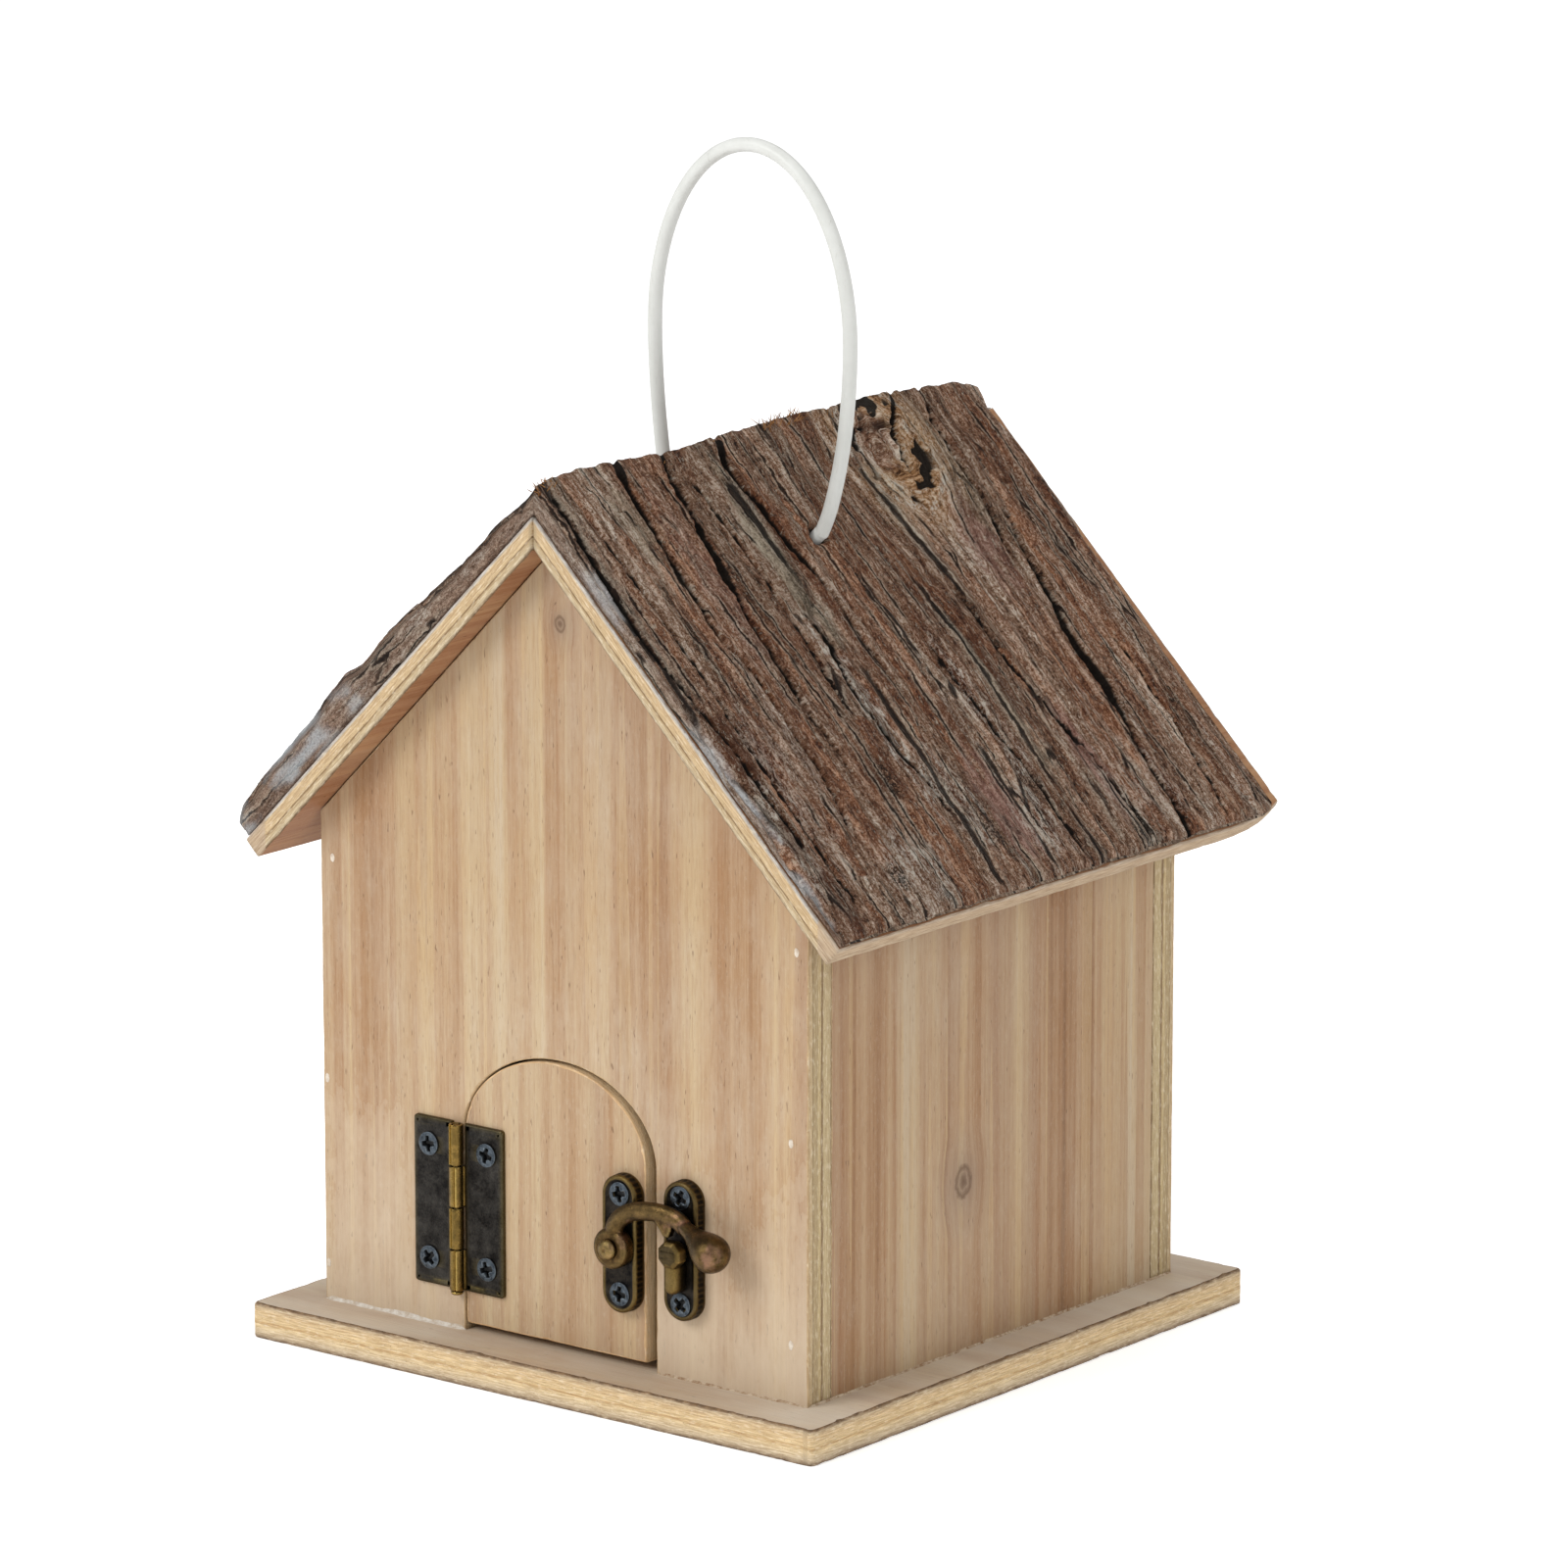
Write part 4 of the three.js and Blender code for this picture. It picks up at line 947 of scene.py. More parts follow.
def bark_specks(f, place, color, fine, grit, pale):
    """Pale dust on the pale patches, then light specks and dark pits all over."""
    crisp = f.weighted((grit, 0.35), (fine, 0.65))
    settled = f.ramp(pale, (0.1, 0.0), (0.8, 1.0))
    dust = f.math("MULTIPLY", settled, f.ramp(crisp, (0.49, 0.0), (0.55, 0.92)))
    color = f.mix(dust, color, rgb(212, 206, 194))
    specks = f.noise(place, (1.3, 0.5, 1), (5, 5, 2), detail=6, roughness=0.88)
    color = f.mix(f.ramp(specks, (0.56, 0.0), (0.62, 0.8)), color, rgb(206, 192, 172))
    pits = f.noise(place, (0.9, 0.3, 1), (1, 8, 6), detail=6, roughness=0.88)
    return f.mix(f.ramp(pits, (0.36, 0.85), (0.43, 0.0)), color, rgb(38, 24, 15))


def bark_cracks(f, place, scale, width, share):
    """Masks for cracks along the grain, which come and go, with painted shade in them, and for their lips,
    pale partly from crumbly bark and partly as painted highlight.

    scale is in cracks per millimetre, width in shares of the gap between two."""
    wander = f.noise(place, (0.22, 0.12, 1), (4, 4, 4), detail=6, roughness=0.75)
    push = f.node("CombineXYZ", {0: f.math("MULTIPLY", wander, 3.0)}).outputs[0]
    bent = f.moved(place, push, "ADD")
    come_and_go = f.noise(place, (0.10, 0.03, 1), (6, 100 * width, 4), detail=3)
    there = f.ramp(come_and_go, (share[0], 0.0), (share[1], 1.0))
    border = f.node("TexVoronoi", {"Vector": f.stretched(bent, (*scale, 0)), "Scale": 1.0},
                    feature="DISTANCE_TO_EDGE", voronoi_dimensions="2D").outputs["Distance"]
    crack = f.math("MULTIPLY", f.ramp(border, (0.0, 0.97), (width, 0.8), (width * 1.5, 0.0)), there)
    lip = f.ramp(border, (width * 1.2, 0.0), (width * 1.8, 0.65), (width * 4.0, 0.0))
    return crack, f.math("MULTIPLY", lip, there)


make_bark("right", 1, 101, FISSURES, True)
make_bark("left", -1, 207, left_fissures(), False)


# ---------------------------------------------------------------- lofts, turned parts and sweeps
def merged(shells):
    points, faces = [], []
    for shell_points, shell_faces in shells:
        faces += [tuple(len(points) + i for i in face) for face in shell_faces]
        points += list(shell_points)
    return points, faces


def loft(rings):
    """A closed shell through rings of points, with its two ends closed by fans."""
    rings = np.asarray(rings, float)
    count, around = rings.shape[:2]
    points = list(rings.reshape(-1, 3)) + [rings[0].mean(0), rings[-1].mean(0)]
    faces = grid_faces(count, around, wrap=True)
    last = (count - 1) * around
    for i in range(around):
        k = (i + 1) % around
        faces.append((k, i, count * around))
        faces.append((last + i, last + k, count * around + 1))
    return points, faces


def turned(profile, start, direction, around=48):
    """A profile of (radius, distance) turned about a line."""
    direction = np.array(direction, float) / np.linalg.norm(direction)
    side = np.cross(direction, (0.3, 0.2, 0.9))
    side /= np.linalg.norm(side)
    other = np.cross(direction, side)
    angles = np.linspace(0, 2 * math.pi, around, endpoint=False)
    circle = np.outer(np.cos(angles), side) + np.outer(np.sin(angles), other)
    return loft([np.array(start) + direction * z + circle * max(r, 0.01) for r, z in profile])


def smooth_line(points, steps):
    """Points along a Catmull-Rom curve."""
    p = np.array(points, float)
    p = np.vstack([2 * p[0] - p[1], p, 2 * p[-1] - p[-2]])
    made = []
    for i in range(1, len(p) - 2):
        for t in np.linspace(0, 1, steps, endpoint=False):
            a, b, c, d = p[i - 1], p[i], p[i + 1], p[i + 2]
            made.append(0.5 * (2 * b + (c - a) * t + (2 * a - 5 * b + 4 * c - d) * t * t
                               + (3 * b - a - 3 * c + d) * t**3))
    made.append(p[-2])
    return np.array(made)


def sweep(line, radii, around=24, flatten=1.0):
    """A tube along a line that lies in an upright plane facing the front."""
    line = np.asarray(line, float)
    radii = np.broadcast_to(radii, len(line))
    ahead = np.gradient(line, axis=0)
    ahead /= np.linalg.norm(ahead, axis=1)[:, None]
    depth = np.array([0.0, 1.0, 0.0])
    side = np.cross(ahead, depth)
    side /= np.linalg.norm(side, axis=1)[:, None]
    angles = np.linspace(0, 2 * math.pi, around, endpoint=False)
    rings = []
    for end, reach in ((0, -1), (-1, 1)):
        caps = []
        for tilt in (80, 60, 35):
            turn = math.radians(tilt)
            centre = line[end] + reach * ahead[end] * radii[end] * math.sin(turn) * 0.5
            caps.append((centre, side[end], radii[end] * math.cos(turn)))
        rings.append(caps)
    stations = rings[0] + list(zip(line, side, radii)) + rings[1][::-1]
    return loft([c + r * (np.outer(np.cos(angles), s) + flatten * np.outer(np.sin(angles), depth))
                 for c, s, r in stations])


TOOTH_PITCH = 1.25  # of the coarse teeth round the cast plates


def plate_shell(loops, place, gap=0.35):
    """A closed shell from outlines, each with its profile from back to front.

    A profile's points are (inset, height), or (inset, height, bite) where teeth are cast round the side."""
    points, faces = [], []
    back_loops, front_loops = [], []
    for corners, profile in loops:
        path = dense(corners, gap)
        move = inward(path)
        teeth = np.abs(np.sin(np.arange(len(path)) * gap * math.pi / TOOTH_PITCH))
        start = len(points)
        for inset, height, *bite in profile:
            flat = path + move * (inset + sum(bite) * teeth)[:, None]
            points += list(place(flat[:, 0], flat[:, 1], height + 0 * flat[:, 0]))
        faces += grid_faces(len(profile), len(path), start, wrap=True)
        back_loops.append((start, path + move * profile[0][0]))
        front_loops.append((start + (len(profile) - 1) * len(path), path + move * profile[-1][0]))
    return points, faces + cap_faces(back_loops) + cap_faces(front_loops)


def worn_edges(thing, gain=1.0):
    """Marks how far each point stands out from its neighbours, for rubbed edges."""
    mesh = thing.data
    points = np.empty(len(mesh.vertices) * 3)
    normals = np.empty(len(mesh.vertices) * 3)
    mesh.vertices.foreach_get("co", points)
    mesh.vertex_normals.foreach_get("vector", normals)
    points, normals = points.reshape(-1, 3) / MM, normals.reshape(-1, 3)
    ends = np.empty(len(mesh.edges) * 2, int)
    mesh.edges.foreach_get("vertices", ends)
    ends = ends.reshape(-1, 2)
    ends = ends[np.linalg.norm(points[ends[:, 0]] - points[ends[:, 1]], axis=1) < 0.9]
    total, count = np.zeros_like(points), np.zeros(len(points))
    for a, b in ((0, 1), (1, 0)):
        np.add.at(total, ends[:, a], points[ends[:, b]] - points[ends[:, a]])
        np.add.at(count, ends[:, a], 1)
    count = np.maximum(count, 1)
    out = -(total / count[:, None] * normals).sum(1)
    for _ in range(2):
        near = np.zeros(len(points))
        for a, b in ((0, 1), (1, 0)):
            np.add.at(near, ends[:, a], out[ends[:, b]])
        out = 0.5 * out + 0.5 * near / count
    store(thing, "wear", np.clip(out * gain, 0, 1))


def fused(thing, voxel, smoothing):
    """Melts a piece's shells into one smooth skin."""
    remesh = thing.modifiers.new("fuse", "REMESH")
    remesh.mode = "VOXEL"
    remesh.voxel_size = voxel * MM
    smooth = thing.modifiers.new("smooth", "SMOOTH")
    smooth.iterations = smoothing
    smooth.factor = 0.5
    graph = bpy.context.evaluated_depsgraph_get()
    result = bpy.data.meshes.new_from_object(thing.evaluated_get(graph))
    thing.modifiers.clear()
    thing.data = result
    result.polygons.foreach_set("use_smooth", [True] * len(result.polygons))


def metal_piece(name, shell, body, node, wear_gain, *materials):
    """An antique brass piece that takes the place of a CAD node."""
    thing = piece(name, *shell, body, "antique_brass", *materials)
    face_outwards(thing)
    worn_edges(thing, wear_gain)
    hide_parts(node)
    return thing


# ---------------------------------------------------------------- metal and plastic finishes
def metal(name, shadow, body, edge, roughness, mottle_size=430, rub=1.0, pink=0.0, grime_and_recess_shade=False):
    """Antiqued plating: mottled dark patina, rubbed bright where it stands out."""
    f = Finish(name, metallic=1.0, roughness=roughness)
    place = f.object_place()
    mottle = f.noise(place, (mottle_size,) * 3, detail=5, roughness=0.65)
    fine = f.noise(place, (2600,) * 3, (3, 1, 4), detail=4, roughness=0.7)
    color = f.ramp(f.math("ADD", f.math("MULTIPLY", mottle, 0.7), f.math("MULTIPLY", fine, 0.3)),
                   (0.38, shadow), (0.64, body))
    if pink:
        bare = f.noise(place, (160,) * 3, (8, 8, 1), detail=4, roughness=0.6)
        color = f.mix(f.ramp(bare, (0.52, 0.0), (0.64, pink)), color, rgb(172, 128, 110))
    wear = f.spot("wear")["Fac"]
    patchy = f.ramp(fine, (0.25, 0.55), (0.6, 1.0))
    bright = f.math("MULTIPLY", f.math("MULTIPLY", wear, rub), patchy, clamp=True)
    color = f.mix(bright, color, edge)
    # On screws this is painted shade: near black in the cross recess, with no metal there.
    if grime_and_recess_shade:
        dirt_and_recess_shade = f.spot("grime_and_recess_shade")["Fac"]
        color = f.mix(dirt_and_recess_shade, color, rgb(8, 8, 9))
        f.feed(f.shader.inputs["Metallic"], f.math("SUBTRACT", 1.0, dirt_and_recess_shade))
    f.bump(f.math("ADD", fine, mottle), 0.35, 0.00025)
    return f.done(color, f.ramp(mottle, (0.35, min(1, roughness + 0.16)), (0.65, roughness)))


# Each has its shadow, body and worn edge colours, then its roughness.
dark_bronze = metal("dark_bronze", rgb(16, 15, 16), rgb(52, 47, 41), rgb(176, 146, 82), 0.33, rub=1.3)
leaf_bronze = metal("leaf_bronze", rgb(14, 14, 18), rgb(58, 56, 54), rgb(140, 124, 76), 0.29,
                    mottle_size=260, rub=0.8)
hook_brass = metal("hook_brass", rgb(44, 32, 18), rgb(102, 80, 48), rgb(206, 180, 118), 0.25,
                   rub=1.2, pink=0.4)
barrel_brass = metal("barrel_brass", rgb(56, 42, 20), rgb(120, 94, 48), rgb(208, 180, 106), 0.24)
screw_zinc = metal("screw_zinc", rgb(44, 50, 57), rgb(92, 101, 109), rgb(168, 178, 185), 0.30,
                   mottle_size=900, grime_and_recess_shade=True)
nail_steel = metal("nail_steel", rgb(70, 66, 62), rgb(138, 134, 128), rgb(196, 194, 190), 0.38,
                   mottle_size=1200)


def finish_nails():
    """The nails keep their CAD shape and get a steel finish."""
    for node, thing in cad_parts.items():
        if node.startswith("nail_"):
            thing.data.materials.clear()
            thing.data.materials.append(nail_steel)


def wire_finish():
    f = Finish("white_plastic", roughness=0.38, specular=0.5)
    place = f.object_place()
    stain = f.noise(place, (90, 90, 60), detail=5, roughness=0.7)
    scratch = f.noise(place, (2000, 2000, 160), (2, 2, 5), detail=3)
    color = f.ramp(stain, (0.35, rgb(196, 197, 192)), (0.7, rgb(208, 209, 205)))
    color = f.mix(f.ramp(scratch, (0.66, 0.0), (0.74, 0.35)), color, rgb(150, 146, 136))
    f.bump(f.math("ADD", stain, scratch), 0.2, 0.0002)
    return f.done(color, f.ramp(stain, (0.3, 0.34), (0.7, 0.46)))


# ---------------------------------------------------------------- wire loop
def wire_tail(sign):
    """From the bent end under the roof board out through the hole, as (x, z)."""
    down, inward_way = np.array([sign, -1]) / ROOT2, np.array([-sign, -1]) / ROOT2
    x = wire_x + sign * WIRE_HOLE_OFFSET
    entry = np.array([x, RIDGE_Z + 10 * ROOT2 - abs(x)])
    bend, straight = 3.0, 6.0
    corner = entry + inward_way * 10
    points = [corner + inward_way * bend + down * (bend + straight * k) for k in (1, 0.5)]
    for angle in np.radians((90, 67.5, 45, 22.5, 0)):
        points.append(corner + bend * (inward_way * math.sin(angle) + down * (1 - math.cos(angle))))
    return points + [entry + inward_way * 5, entry, entry - inward_way * 1.2]


def make_wire():
    half, up, below_right, below_left = 26.8, 41.3, 60.0, 72.0
    turns = np.radians(np.arange(-35, 211, 12.25))
    rises = [up if math.sin(t) > 0 else below_right if math.cos(t) > 0 else below_left for t in turns]
    loop = [(wire_x + half * math.cos(t), WIRE_CENTRE_Z + rise * math.sin(t))
            for t, rise in zip(turns, rises)]
    flat = smooth_line([*wire_tail(1), *loop, *wire_tail(-1)[::-1]], 14)
    line = np.stack([flat[:, 0], wire_y + 0 * flat[:, 0], flat[:, 1]], 1)
    along = np.arange(len(line)) * 0.05
    radii = WIRE_RADIUS * (1 + 0.012 * layered_noise(along, 0 * along, 3, 2))
    thing = piece("wire_loop", *sweep(line, radii, 28), HOUSE, "white_plastic", wire_finish())
    face_outwards(thing)
    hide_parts("hanging_wire")


# ---------------------------------------------------------------- screws
SCREW_REACH = 2.6  # radius of a screw's head


def screw_rings(length):
    """Rings (a, b, distance behind the front) of a head with a cross recess, and each point's painted
    recess shade.
    """
    turn = np.linspace(0, 2 * math.pi, 72, endpoint=False)
    rings, grime_and_recess_shade = [], []
    inner = np.linspace(0.03, SCREW_REACH * 0.8, 26)
    rim = np.linspace(SCREW_REACH * 0.83, SCREW_REACH, 6)
    for r in np.concatenate([inner, rim]):
        a, b = r * np.cos(turn), r * np.sin(turn)
        dome = 0.3 * (r / SCREW_REACH) ** 2.4
        across = np.minimum(np.abs(a), np.abs(b))
        along = np.maximum(np.abs(a), np.abs(b))
        cross = 1.5 * step(0.62, 0.34, across) * step(1.85, 1.35, along)
        recess = np.minimum(cross + 0.9 * step(1.1, 0.5, np.hypot(a, b)), 1.6)
        rings.append((a, b, dome + recess))
        # Painted shade in the recess follows its depth.
        grime_and_recess_shade += list(step(0.15, 0.5, recess))
    cone = ((SCREW_REACH, 0.55), (SCREW_REACH * 0.96, 0.8), (1.15, 2.3))
    shank = (*cone, (1.1, length - 1.6), (0.1, length))
    for r, y in shank:
        rings.append((r * np.cos(turn), r * np.sin(turn), y + 0 * turn))
    return rings, grime_and_recess_shade + [1.0] * (len(shank) * len(turn) + 2)


def make_screw(node, body, angle):
    """A Phillips screw, turned by an angle in degrees."""
    low, high = box_mm(node)
    x, z = (low[0] + high[0]) / 2, (low[2] + high[2]) / 2
    front = low[1] - 0.4
    rings, grime_and_recess_shade = screw_rings(high[1] - front)
    lean = math.radians(angle)
    placed = [np.stack([x + a * math.cos(lean) - b * math.sin(lean), front + y,
                        z + a * math.sin(lean) + b * math.cos(lean)], 1) for a, b, y in rings]
    thing = piece(f"{node}_head", *loft(placed), body, "screw_zinc", screw_zinc)
    store(thing, "grime_and_recess_shade", grime_and_recess_shade)
    face_outwards(thing)
    worn_edges(thing, 6)
    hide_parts(node)


def make_screws():
    for part, body, turn in (("wall", HOUSE, 8), ("door", DOOR, -14)):
        make_screw(f"hinge_screw_{part}_upper", body, turn)
        make_screw(f"hinge_screw_{part}_lower", body, turn + 31)
    for prefix, body, turn in (("latch", DOOR, 12), ("keeper", HOUSE, -24)):
        make_screw(f"{prefix}_screw_upper", body, turn)
        make_screw(f"{prefix}_screw_lower", body, turn - 16)


# ---------------------------------------------------------------- butt hinge
HINGE_X = -28.1
BARREL, PIN = 1.6, 0.7  # radii of the knuckles and of the pin
HINGE_BOTTOM = box_mm("hinge_leaf_wall")[0][2]
HINGE_TOP = HINGE_BOTTOM + 37.6
HINGE_Y = front_low[1] - BARREL


def hinge_place(sign):
    return lambda a, b, h: np.stack([HINGE_X + sign * a, front_low[1] - h, b], -1)


def hole_circle(x, z, radius):
    return arc(x, z, radius, radius, 360, 15, 24)


def make_leaf(part, sign, body):
    inner, outer = BARREL + 0.25, 12.5
    low, high, r = HINGE_BOTTOM, HINGE_TOP, 0.8
    outline = [(inner, low), *arc(outer - r, low + r, r, r, -90, 0, 5),
               *arc(outer - r, high - r, r, r, 0, 90, 5), (inner, high)]
    rim = [(0.0, 0.0), (0.0, 0.55), (0.08, 0.82), (0.3, 0.97), (0.7, 1.0), (1.4, 1.0)]
    hole = [(0.0, 0.0), (0.0, 0.6), (-0.15, 0.85), (-0.5, 1.0)]
    middle = (low + high) / 2
    holes = [(hole_circle(8.1, middle + side * 12.8, 2.2), hole) for side in (-1, 1)]
    shells = [plate_shell([(outline, rim), *holes], hinge_place(sign), 0.5)]
    pitch = (HINGE_TOP - HINGE_BOTTOM) / 4
    for i in range(0 if sign > 0 else 1, 4, 2):
        z0, z1 = low + i * pitch + 0.2, low + (i + 1) * pitch - 0.2
        shells.append(knuckle(z0, z1, sign))
    thing = metal_piece(f"hinge_{part}_leaf", merged(shells), body, f"hinge_leaf_{part}", 7,
                        leaf_bronze, barrel_brass)
    for face in thing.data.polygons:
        face.material_index = int(abs(face.center[0] / MM - HINGE_X) < BARREL + 0.2)
    thing.data.set_sharp_from_angle(angle=math.radians(40))


def knuckle(z0, z1, sign):
    """The leaf's metal curled round the pin: a C-shaped section that runs into the leaf."""
    outer, inner = BARREL, PIN + 0.3
    curl = np.radians(np.linspace(90, 90 + 330, 44))
    across = [(outer * math.cos(t), -outer * math.sin(t)) for t in curl[::-1]]
    back = [(inner * math.cos(t), -inner * math.sin(t)) for t in curl]
    lead = [(BARREL + 0.6, outer), (BARREL + 0.6, outer - 0.95)]
    section = [(HINGE_X + sign * a, HINGE_Y + b) for a, b in [*lead[::-1], *back, *across, lead[0]]]
    rings = []
    rounding = ((0.0, 0.1), (0.12, 0.02), (0.3, 0.0))
    levels = [(z0 + rise, shrink) for rise, shrink in rounding]
    levels += [(z1 - rise, shrink) for rise, shrink in reversed(rounding)]
    for z, shrink in levels:
        ring = []
        for x, y in section:
            dx, dy = x - HINGE_X, y - HINGE_Y
            far = math.hypot(dx, dy)
            scale = 1 - shrink / far if far > (outer + inner) / 2 else 1 + shrink / far
            ring.append((HINGE_X + dx * scale, HINGE_Y + dy * scale, z))
        rings.append(ring)
    count = len(section)
    points = [p for ring in rings for p in ring]
    faces = grid_faces(len(rings), count, wrap=True)
    flat = [[Vector((x, y, 0)) for x, y in section]]
    last = (len(rings) - 1) * count
    for triangle in geometry.tessellate_polygon(flat):
        faces.append(tuple(triangle))
        faces.append(tuple(last + i for i in triangle))
    return points, faces


def make_pin():
    low, high = box_mm("hinge_pin")
    length = high[2] - low[2]
    profile = [(0.0, 0.0), (0.7, 0.02), (1.1, 0.14), (1.35, 0.4), (1.4, 0.75), (0.72, 0.8), (0.7, 1.1),
               (0.7, length - 0.25), (0.5, length - 0.05), (0.0, length)]
    shell = turned(profile, (HINGE_X, HINGE_Y, low[2]), (0, 0, 1))
    metal_piece("hinge_pin_turned", shell, HOUSE, "hinge_pin", 5, barrel_brass)


# ---------------------------------------------------------------- swing latch
PIVOT_X, PIVOT_Z, HOOK_MIDDLE = 18.2, 35.6, 4.9
LATCH_PLATE = dict(x=18.2, z=35.9, width=9.6, height=30.7, spacing=22.2)
KEEPER_PLATE = dict(x=34.9, z=37.2, width=9.4, height=30.9, spacing=23.6)


def front_place(a, b, h):
    return np.stack([a, front_low[1] - h, b], -1)


def stadium(x, z, width, height):
    half, straight = width / 2, (height - width) / 2
    return [*arc(x, z + straight, half, half, 0, 180, 25), *arc(x, z - straight, half, half, 180, 360, 25)]


def cast_plate(plate, extra_holes=()):
    """A cast plate: rounded shoulder, raised rim, sunk tray, coarse teeth cast round its side."""
    outline = stadium(plate["x"], plate["z"], plate["width"], plate["height"])
    side_wall = [(0.1, 0.0), (0.02, 0.35), (0.0, 0.8, 0.16), (0.0, 1.6, 0.3), (0.03, 2.2, 0.16)]
    shoulder = [(0.12, 2.5), (0.32, 2.78), (0.6, 2.95), (0.85, 3.0), (1.05, 2.92), (1.2, 2.68)]
    tray = [(1.5, 2.58), (1.9, 2.56)]
    hole = [(0.0, 0.0), (0.0, 1.6), (-0.3, 2.2), (-0.55, 2.5), (-0.75, 2.56)]
    holes = [(hole_circle(plate["x"], plate["z"] + side * plate["spacing"] / 2, 2.2), hole)
             for side in (-1, 1)]
    return plate_shell([(outline, side_wall + shoulder + tray), *holes, *extra_holes], front_place, 0.3)


def make_latch_plate():
    hole = [(0.0, 0.0), (0.0, 2.3), (-0.2, 2.56)]
    shell = cast_plate(LATCH_PLATE, [(hole_circle(PIVOT_X, PIVOT_Z, 1.6), hole)])
    metal_piece("latch_plate_cast", shell, DOOR, "latch_plate", 7, dark_bronze)


def make_keeper():
    x, z = KEEPER_PLATE["x"], KEEPER_PLATE["z"]
    octagon = arc(x, z, 3.15, 3.15, 22.5, 337.5, 8)
    bevel = [(0.5, 4.2), (0.1, 4.35), (0.0, 4.7), (0.0, 6.3), (0.12, 6.65), (0.75, 7.1), (1.0, 7.2)]
    post = [(0.0, 2.0), (0.0, 4.6)]
    tail = [(0.0, 1.9), (0.0, 4.6), (0.2, 5.4), (0.6, 6.0), (1.1, 6.25)]
    shells = [
        cast_plate(KEEPER_PLATE),
        plate_shell([(octagon, bevel)], front_place, 0.4),
        plate_shell([(arc(x, z, 1.9, 1.9, 0, 345, 24), post)], front_place, 0.4),
        plate_shell([(stadium(34.5, 31.8, 3.6, 7.4), tail)], front_place, 0.3),
    ]
    metal_piece("keeper_cast", merged(shells), HOUSE, "keeper", 5, dark_bronze)


def make_rivet():
    low, high = box_mm("latch_rivet")
    length = high[1] - low[1]
    head = [(0.0, 0.12), (0.3, 0.1), (0.5, 0.0), (1.0, 0.04), (1.6, 0.25), (2.05, 0.6), (2.28, 1.0),
            (2.3, 1.25)]
    shank = [(1.3, 1.3), (1.3, length - 0.8)]
    foot = [(2.2, length - 0.8), (2.2, length - 0.1), (2.1, length), (0.0, length)]
    shell = turned(head + shank + foot, (PIVOT_X, low[1], PIVOT_Z), (0, 1, 0))
    metal_piece("latch_rivet_turned", shell, DOOR, "latch_rivet", 4, hook_brass)


def make_hook():
    y = front_low[1] - HOOK_MIDDLE
    arm_line = [(0, 1.5), (0.3, 4), (1.9, 6.7), (4.9, 8.7), (8.7, 9.6), (13, 9.9), (17.2, 9.3), (19.6, 7.9)]
    flat = smooth_line([(PIVOT_X + a, PIVOT_Z + b) for a, b in arm_line], 10)
    line = np.stack([flat[:, 0], y + 0 * flat[:, 0], flat[:, 1]], 1)
    knob = [(0.0, 0.0), (1.3, 0.4), (1.7, 2), (2, 4.2), (2.8, 6.6), (3.7, 9), (4.2, 11.3), (3.8, 13.2),
            (2.7, 14.6), (1.3, 15.4), (0.0, 15.6)]
    boss = [(0.0, 0.0), (3.6, 0.0), (4.3, 0.35), (4.6, 1.0), (4.6, 3.2), (1.7, 3.2), (0.0, 3.2)]
    tongue = [(30, 44.2), (32.6, 40.75), (34.1, 40.75), (35.4, 44.2)]
    tongue_edge = [(a, HOOK_MIDDLE + b) for a, b in ((0.25, -1.1), (0.0, -0.85), (0.0, 0.85), (0.25, 1.1))]
    shells = [
        turned(boss, (PIVOT_X, y - 1.6, PIVOT_Z), (0, 1, 0), 56),
        sweep(line, 2.1, 28, 0.76),
        turned(smooth_line(knob, 5), (PIVOT_X + 18.9, y, PIVOT_Z + 8.4), (10.4, -3, -4)),
        plate_shell([(counter_clockwise(tongue), tongue_edge)], front_place, 0.4),
    ]
    thing = piece("latch_hook_cast", *merged(shells), HOOK, "antique_brass", hook_brass)
    face_outwards(thing)
    fused(thing, 0.24, 6)
    worn_edges(thing, 9)
    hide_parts("latch_hook")


make_wire()
make_screws()
make_leaf("wall", -1, HOUSE)
make_leaf("door", 1, DOOR)
make_pin()
make_latch_plate()
make_keeper()
make_rivet()
make_hook()
finish_nails()

# ---------------------------------------------------------------- filler, glue and loose fibres
# Middles of the front wall's nail heads, as (x, z).
FILLED_NAILS = [(-63.9, 108.1), (-66.1, 58.2), (-66.3, 16.2), (64.1, 106.6), (62.6, 65.0), (62.6, 20.9)]


def paint_finish(name, light, dark):
    f = Finish(name, roughness=0.8, specular=0.2)
    place = f.object_place()
    blots = f.noise(place, (700, 700, 700), detail=4, roughness=0.7)
    f.bump(blots, 0.5, 0.0003)
    return f.done(f.ramp(blots, (0.35, dark), (0.6, light)))


def make_fillers():
    """Thin ragged dabs of filler over the nail heads in the front wall."""
    shells = []
    for number, (x, z) in enumerate(FILLED_NAILS):
        turn = np.linspace(0, 2 * math.pi, 28, endpoint=False)
        ragged = 1 + 0.22 * layered_noise(3 * np.cos(turn), 3 * np.sin(turn), 60 + number, 3)
        rings = []
        for size, height in ((1.0, -0.15), (1.0, 0.02), (0.8, 0.10), (0.45, 0.12), (0.1, 0.13)):
            rings.append(np.stack([x + 0.6 * size * ragged * np.cos(turn), front_low[1] - height + 0 * turn,
                                   z + 1.0 * size * ragged * np.sin(turn)], 1))
        shells.append(loft(rings))
    finish = paint_finish("filler_white", rgb(212, 202, 188), rgb(182, 166, 146))
    thing = piece("nail_filler", *merged(shells), HOUSE, "plywood", finish)
    face_outwards(thing)


